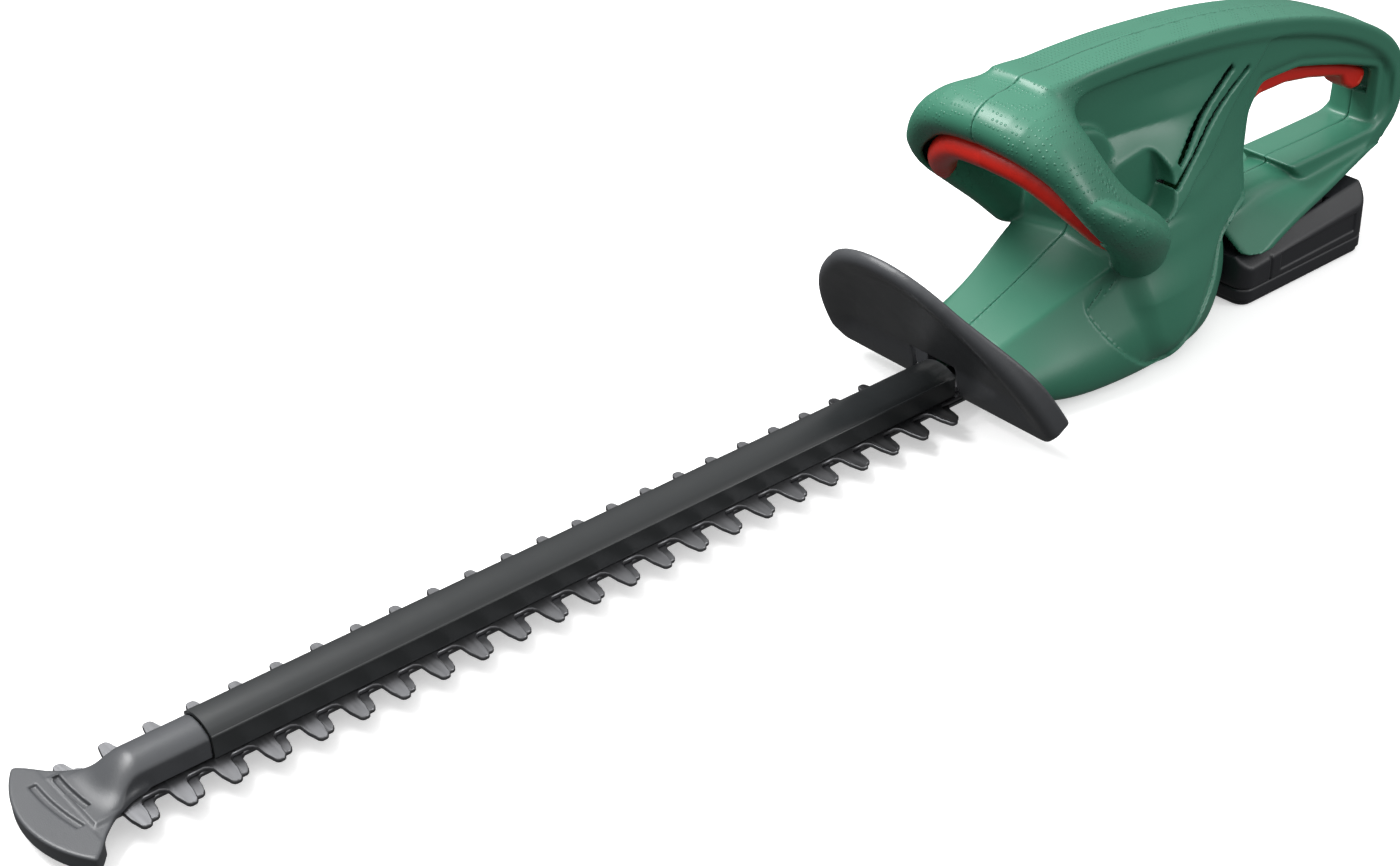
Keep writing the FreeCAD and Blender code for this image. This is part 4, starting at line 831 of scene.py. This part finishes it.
def fan_points():
    """The fan from above: a bowed front edge and hollow sides that run back to the neck."""
    front = arc((FAN_CORNER, FAN_HALF), (FAN_CORNER, -FAN_HALF), FAN_BOW, 24)
    side = [(16, -32.5), (22, -25), (30, -17.5), (38, -13), (46, -NECK_HALF)]
    return front + side + [(s, -y) for s, y in reversed(side)]


fan_outline = Outline(fan_points(), 0.8)
FAN_TOP, PLATE_LOW, LIP_LOW, LIP_BACK = 13.4, 11.5, 5.6, 19.2
NECK_SHOULDER, NECK_CROWN, NECK_BACK = 20.6, 24.6, 76.6


def arch_top(y, half, shoulder, crown):
    """The height of a round crown between two shoulders."""
    rise = crown - shoulder
    radius = (half ** 2 + rise ** 2) / (2 * rise)
    return crown - radius + np.sqrt(np.maximum(radius ** 2 - y ** 2, 0))


def tip_guard(s, y, z):
    """The fan-shaped nose: a plate with a lip, and a neck that rises out of it."""
    plan = fan_outline(s, y)
    plate = extrusion(plan, np.abs(z - (FAN_TOP + PLATE_LOW) / 2) - (FAN_TOP - PLATE_LOW) / 2, 0.8)
    lip = extrusion(np.maximum(plan, s - LIP_BACK), np.abs(z - (FAN_TOP + LIP_LOW) / 2)
                    - (FAN_TOP - LIP_LOW) / 2, 1.2)
    rising = step(24, 47, s)
    top = FAN_TOP + (arch_top(y, NECK_HALF, NECK_SHOULDER, NECK_CROWN) - FAN_TOP) * rising
    half = NECK_HALF + 7 * (1 - step(24, 44, s))
    neck = both(both(np.abs(y) - half, z - top, 1.2), PLATE_LOW - z, 0.4)
    neck = np.maximum(neck, np.maximum(s - NECK_BACK, 22 - s))
    inside = np.maximum(np.maximum(np.abs(y) - NECK_HALF + 1.8, z - top + 1.8), 40 - s)
    body = np.maximum(join(join(plate, lip, 0.5), neck, 4), -inside)
    for middle, drift, low, high in ((13.5, -0.11, -15, 20), (22.5, -0.09, -7, 19)):
        line = np.maximum(np.abs(s - middle - drift * (y - 2) - 0.004 * y * y) - 1.5,
                          np.maximum(low - y, y - high))
        body = np.maximum(body, -np.maximum(line, FAN_TOP - 0.9 - z))
    return body


field_piece("guard_shield", hand_guard, [440, -82, 2], [512, 82, 108], 1.0, FINISH["black_plastic"],
            "housing", ["hand_guard"])
field_piece("fan_nose", tip_guard, [-2, -39, 4], [79, 39, 27], 0.6, FINISH["black_plastic"],
            "housing", ["tip_guard"])


# ---------------------------------------------------------------- blade cover and blades

def cover_ring():
    """The cover's section: upright sides, a thin ledge at the shoulder, a round crown, open below."""
    half, low, shoulder, crown, wall = COVER_HIGH[1], COVER_LOW[2], 22.0, COVER_HIGH[2], 1.7
    across = np.linspace(-half + 0.7, half - 0.7, 17)
    outer = [(-half, low), (-half, shoulder - 0.5), (-half + 0.25, shoulder - 0.1), (-half + 0.7, shoulder)]
    outer += [(y, arch_top(y, half, shoulder, crown)) for y in across[1:-1]]
    outer += [(-y, z) for y, z in reversed(outer[:4])]
    inner = [(half - wall, low)]
    inner += [(y, arch_top(y, half, shoulder, crown) - wall) for y in across[::-1] if abs(y) < half - wall]
    return outer + inner + [(wall - half, low)]


def sweep(name, ring, stations, material):
    """A ring of (y, z) points carried along s, closed at both ends."""
    count = len(ring)
    points = [(s, y, z) for s in stations for y, z in ring]
    faces = []
    for a in range(len(stations) - 1):
        for k in range(count):
            after = (k + 1) % count
            faces.append((a * count + k, (a + 1) * count + k, (a + 1) * count + after, a * count + after))
    faces.append(tuple(range(count)))
    faces.append(tuple(reversed(range((len(stations) - 1) * count, len(stations) * count))))
    obj = add_mesh(name, points, faces, material)
    obj.data.set_sharp_from_angle(angle=math.radians(30))
    return obj


COVER_OVERLAP = 8
cover_stations = np.linspace(COVER_LOW[0], COVER_HIGH[0] + COVER_OVERLAP, 9)
cover = sweep("blade_shroud", cover_ring(), cover_stations, FINISH["cover_black"])
finish_piece(cover, "housing", ["blade_cover"])

TOOTH_PITCH, TOOTH_COUNT, STRIP_HALF = 20, 23, 12.9
GEAR_STATION = 592
STROKE_HALF = 5


def tooth_side(first, reach, tip):
    """One row of teeth from front to back: hollow flanks and round tips, as (s, distance from the middle)."""
    line = []
    root, waist = STRIP_HALF, 12.6 * 0.45 + reach * 0.55
    for k in range(TOOTH_COUNT):
        s = first + TOOTH_PITCH * k
        flank = [(-6.6, root), (-5.0, root + 1.2), (-4.2, root + 3.2), (-3.8, waist), (-tip, reach - tip)]
        crest = [(-tip * math.cos(t), reach - tip + tip * math.sin(t)) for t in (0.4, 0.8, 1.2)]
        half = flank + crest
        line += [(s + a, b) for a, b in half] + [(s - a, b) for a, b in reversed(half)]
    return line


def blade_outlines(shift, reach, tip):
    """The blade's outer line and its openings."""
    gear = GEAR_STATION + shift
    left = [(29, STRIP_HALF)] + [(s, y) for s, y in tooth_side(40 + shift, reach, tip)]
    front = LIP_BACK + 0.5 + STROKE_HALF + shift
    right = [(max(s, front), y) for s, y in tooth_side(30 + shift, reach, tip)]
    yoke = [(gear - 26, STRIP_HALF), (gear - 20, 21), (gear + 26, 21)]
    outer = [(s, -y) for s, y in left + yoke] + [(s, y) for s, y in reversed(right + yoke)]
    window = [(gear - 20, -15), (gear + 20, -15), (gear + 20, 15), (gear - 20, 15)]
    slots = []
    for k in range(5):
        middle = 90 + 96 * k + shift
        ends = [(side * (5.4 + 3.6 * math.cos(t)), side * 3.6 * math.sin(t))
                for side in (1, -1) for t in np.linspace(-math.pi / 2, math.pi / 2, 7)]
        slots.append([(middle + a, b) for a, b in ends])
    return [outer, window] + slots


def plate_mesh(name, outlines, low, high, material, bevel=0.35):
    """Flat outlines given thickness with bevelled edges."""
    curve_data = bpy.data.curves.new(name, "CURVE")
    curve_data.dimensions = "2D"
    curve_data.fill_mode = "BOTH"
    curve_data.extrude = ((high - low) / 2 - bevel) * MM
    curve_data.bevel_depth = bevel * MM
    curve_data.offset = -bevel * MM
    curve_data.bevel_resolution = 0
    for outline in outlines:
        spline = curve_data.splines.new("POLY")
        spline.points.add(len(outline) - 1)
        for point, (s, y) in zip(spline.points, outline):
            point.co = (FRONT + s * MM, y * MM, 0, 1)
        spline.use_cyclic_u = True
    holder = bpy.data.objects.new(name + "_line", curve_data)
    mesh = bpy.data.meshes.new_from_object(holder)
    bpy.data.objects.remove(holder)
    bpy.data.curves.remove(curve_data)
    mesh.name = name
    mesh.transform(Matrix.Translation((0, 0, (low + high) / 2 * MM)))
    mesh.materials.clear()
    mesh.materials.append(material)
    obj = bpy.data.objects.new(name, mesh)
    bpy.context.scene.collection.objects.link(obj)
    return obj


for body, name, shift, reach, tip in (("upper_blade", "upper_cutter", -2.5, 28.9, 2.7),
                                      ("lower_blade", "lower_cutter", 2.5, 24.4, 3.1)):
    low, high = low_high(body)
    plate = plate_mesh(name, blade_outlines(shift, reach, tip), low[2] + 0.01, high[2] - 0.01,
                       FINISH["blade_steel"])
    finish_piece(plate, body, [body])


# ---------------------------------------------------------------- battery

PACK_FRONT, PACK_BACK, PACK_HALF = TRAY_LOW[0], TRAY_HIGH[0], TRAY_HIGH[1]
SEAM = TRAY_HIGH[2]


def pack_plan(s, y):
    """The battery from above: a rectangle with round corners."""
    middle, reach = (PACK_FRONT + PACK_BACK) / 2, (PACK_BACK - PACK_FRONT) / 2
    return extrusion(np.abs(s - middle) - reach, np.abs(y) - PACK_HALF, 8.0)


def pack_tray(s, y, z):
    """The battery's lower shell, with a drawn-in foot."""
    plan = pack_plan(s, y) + 1.2 * step(3.2, 2.6, z) + 0.7 * step(1.0, 0.4, np.abs(z - SEAM + 0.2) + 0.2)
    return both(plan, np.maximum(-z, z - SEAM), 1.0)


def pack_top(s, y, z):
    """The battery's upper shell: sides, a sloping band, and a low middle under the foot's rails."""
    t = np.clip((s - PACK_FRONT) / (PACK_BACK - PACK_FRONT), 0, 1)
    side_top, band_top = 21.4 + 7.6 * t, 28 + 11 * t
    slope = (band_top - side_top) / 8.0
    plan = pack_plan(s, y)
    band = (z - side_top - slope * (PACK_HALF - np.abs(y))) / np.sqrt(1 + slope ** 2)
    plan = plan + 0.9 * step(0.9, 0.5, np.abs(s - PACK_FRONT - 22))
    frame = np.maximum(np.abs(s - PACK_FRONT - 62) - 32, np.abs(z - SEAM - 7 - 3 * t) - 4.5 - t)
    plan = plan + 0.8 * step(0.4, -0.4, frame)
    body = both(both(plan, band, 1.5), np.maximum(SEAM + 0.15 - z, z - band_top), 0.8)
    hollow = np.maximum(np.maximum(np.abs(y) - 28.8, 27.6 - z), s - PACK_FRONT - 79)
    return np.maximum(body, -hollow)


field_piece("pack_lower", pack_tray, [682, -40, -1], [792, 40, 12], 0.8, FINISH["battery_dark"], "battery",
            ["battery_tray"])
field_piece("pack_upper", pack_top, [682, -40, 8], [792, 40, 41], 0.8, FINISH["battery_dark"], "battery",
            ["battery_top"])


# ---------------------------------------------------------------- scene

def soft_light(name, place, target, size, power, colour=(1, 1, 1)):
    """A large square lamp that points at a target."""
    lamp = bpy.data.lights.new(name, "AREA")
    lamp.shape = "RECTANGLE"
    lamp.size, lamp.size_y = size
    lamp.energy = power
    lamp.color = colour
    obj = bpy.data.objects.new(name, lamp)
    obj.location = place
    obj.rotation_euler = (Vector(target) - Vector(place)).to_track_quat("-Z", "Y").to_euler()
    bpy.context.scene.collection.objects.link(obj)


def sky(world):
    """A studio tent: bright overhead, dim at the horizon and dark below."""
    tree = world.node_tree
    direction = add_node(tree, "ShaderNodeTexCoord").outputs["Generated"]
    height = add_node(tree, "ShaderNodeSeparateXYZ", [("Vector", direction)]).outputs["Z"]
    ramp = add_node(tree, "ShaderNodeValToRGB", [("Fac", remap(tree, height, -1, 1, 0, 1))])
    ramp.color_ramp.elements[0].position = 0.42
    ramp.color_ramp.elements[0].color = (0.10, 0.10, 0.10, 1)
    ramp.color_ramp.elements[1].position = 0.95
    ramp.color_ramp.elements[1].color = (1.0, 1.0, 1.0, 1)
    middle = ramp.color_ramp.elements.new(0.55)
    middle.color = (0.22, 0.22, 0.22, 1)
    background = tree.nodes["Background"]
    tree.links.new(ramp.outputs["Color"], background.inputs["Color"])
    background.inputs["Strength"].default_value = 1.15


def studio():
    """A pale floor under a graded sky and soft lamps."""
    scene = bpy.context.scene
    scene.view_settings.view_transform = "Standard"
    world = bpy.data.worlds.new("studio")
    world.use_nodes = True
    sky(world)
    scene.world = world
    floor_mesh = bpy.data.meshes.new("floor")
    half, below = 25.0, -0.0005
    floor_mesh.from_pydata([(-half, -half, below), (half, -half, below), (half, half, below),
                            (-half, half, below)], [], [(0, 1, 2, 3)])
    material, tree, shader = new_material("floor_white", (0.8, 0.8, 0.8), 0.7, specular=0.0)
    shader.inputs["Emission Color"].default_value = (1, 1, 1, 1)
    shader.inputs["Emission Strength"].default_value = 0.45
    floor_mesh.materials.append(material)
    floor = bpy.data.objects.new("floor", floor_mesh)
    floor.visible_diffuse = False
    floor.visible_glossy = False
    scene.collection.objects.link(floor)
    middle = (0.1, 0, 0.07)
    soft_light("top_light", (-0.55, 0.85, 1.6), middle, (1.2, 0.9), 46)
    soft_light("near_light", (1.0, -1.3, 0.8), middle, (0.7, 0.7), 8)


def camera():
    """The camera at the photograph's angle."""
    data = bpy.data.cameras.new("camera")
    data.sensor_width = 36.0
    data.lens = 2350.2 / 1400 * 36.0
    obj = bpy.data.objects.new("camera", data)
    right = Vector((0.7661, -0.6422, -0.0269))
    down = Vector((-0.3555, -0.3884, -0.8502))
    forward = Vector((0.5355, 0.6609, -0.5258))
    turn = Matrix((right, -down, -forward)).transposed().to_4x4()
    obj.matrix_world = Matrix.Translation((FRONT + 0.040 - 0.2713, -0.7056, 0.5992 + 0.011)) @ turn
    bpy.context.scene.collection.objects.link(obj)
    bpy.context.scene.camera = obj


studio()
camera()
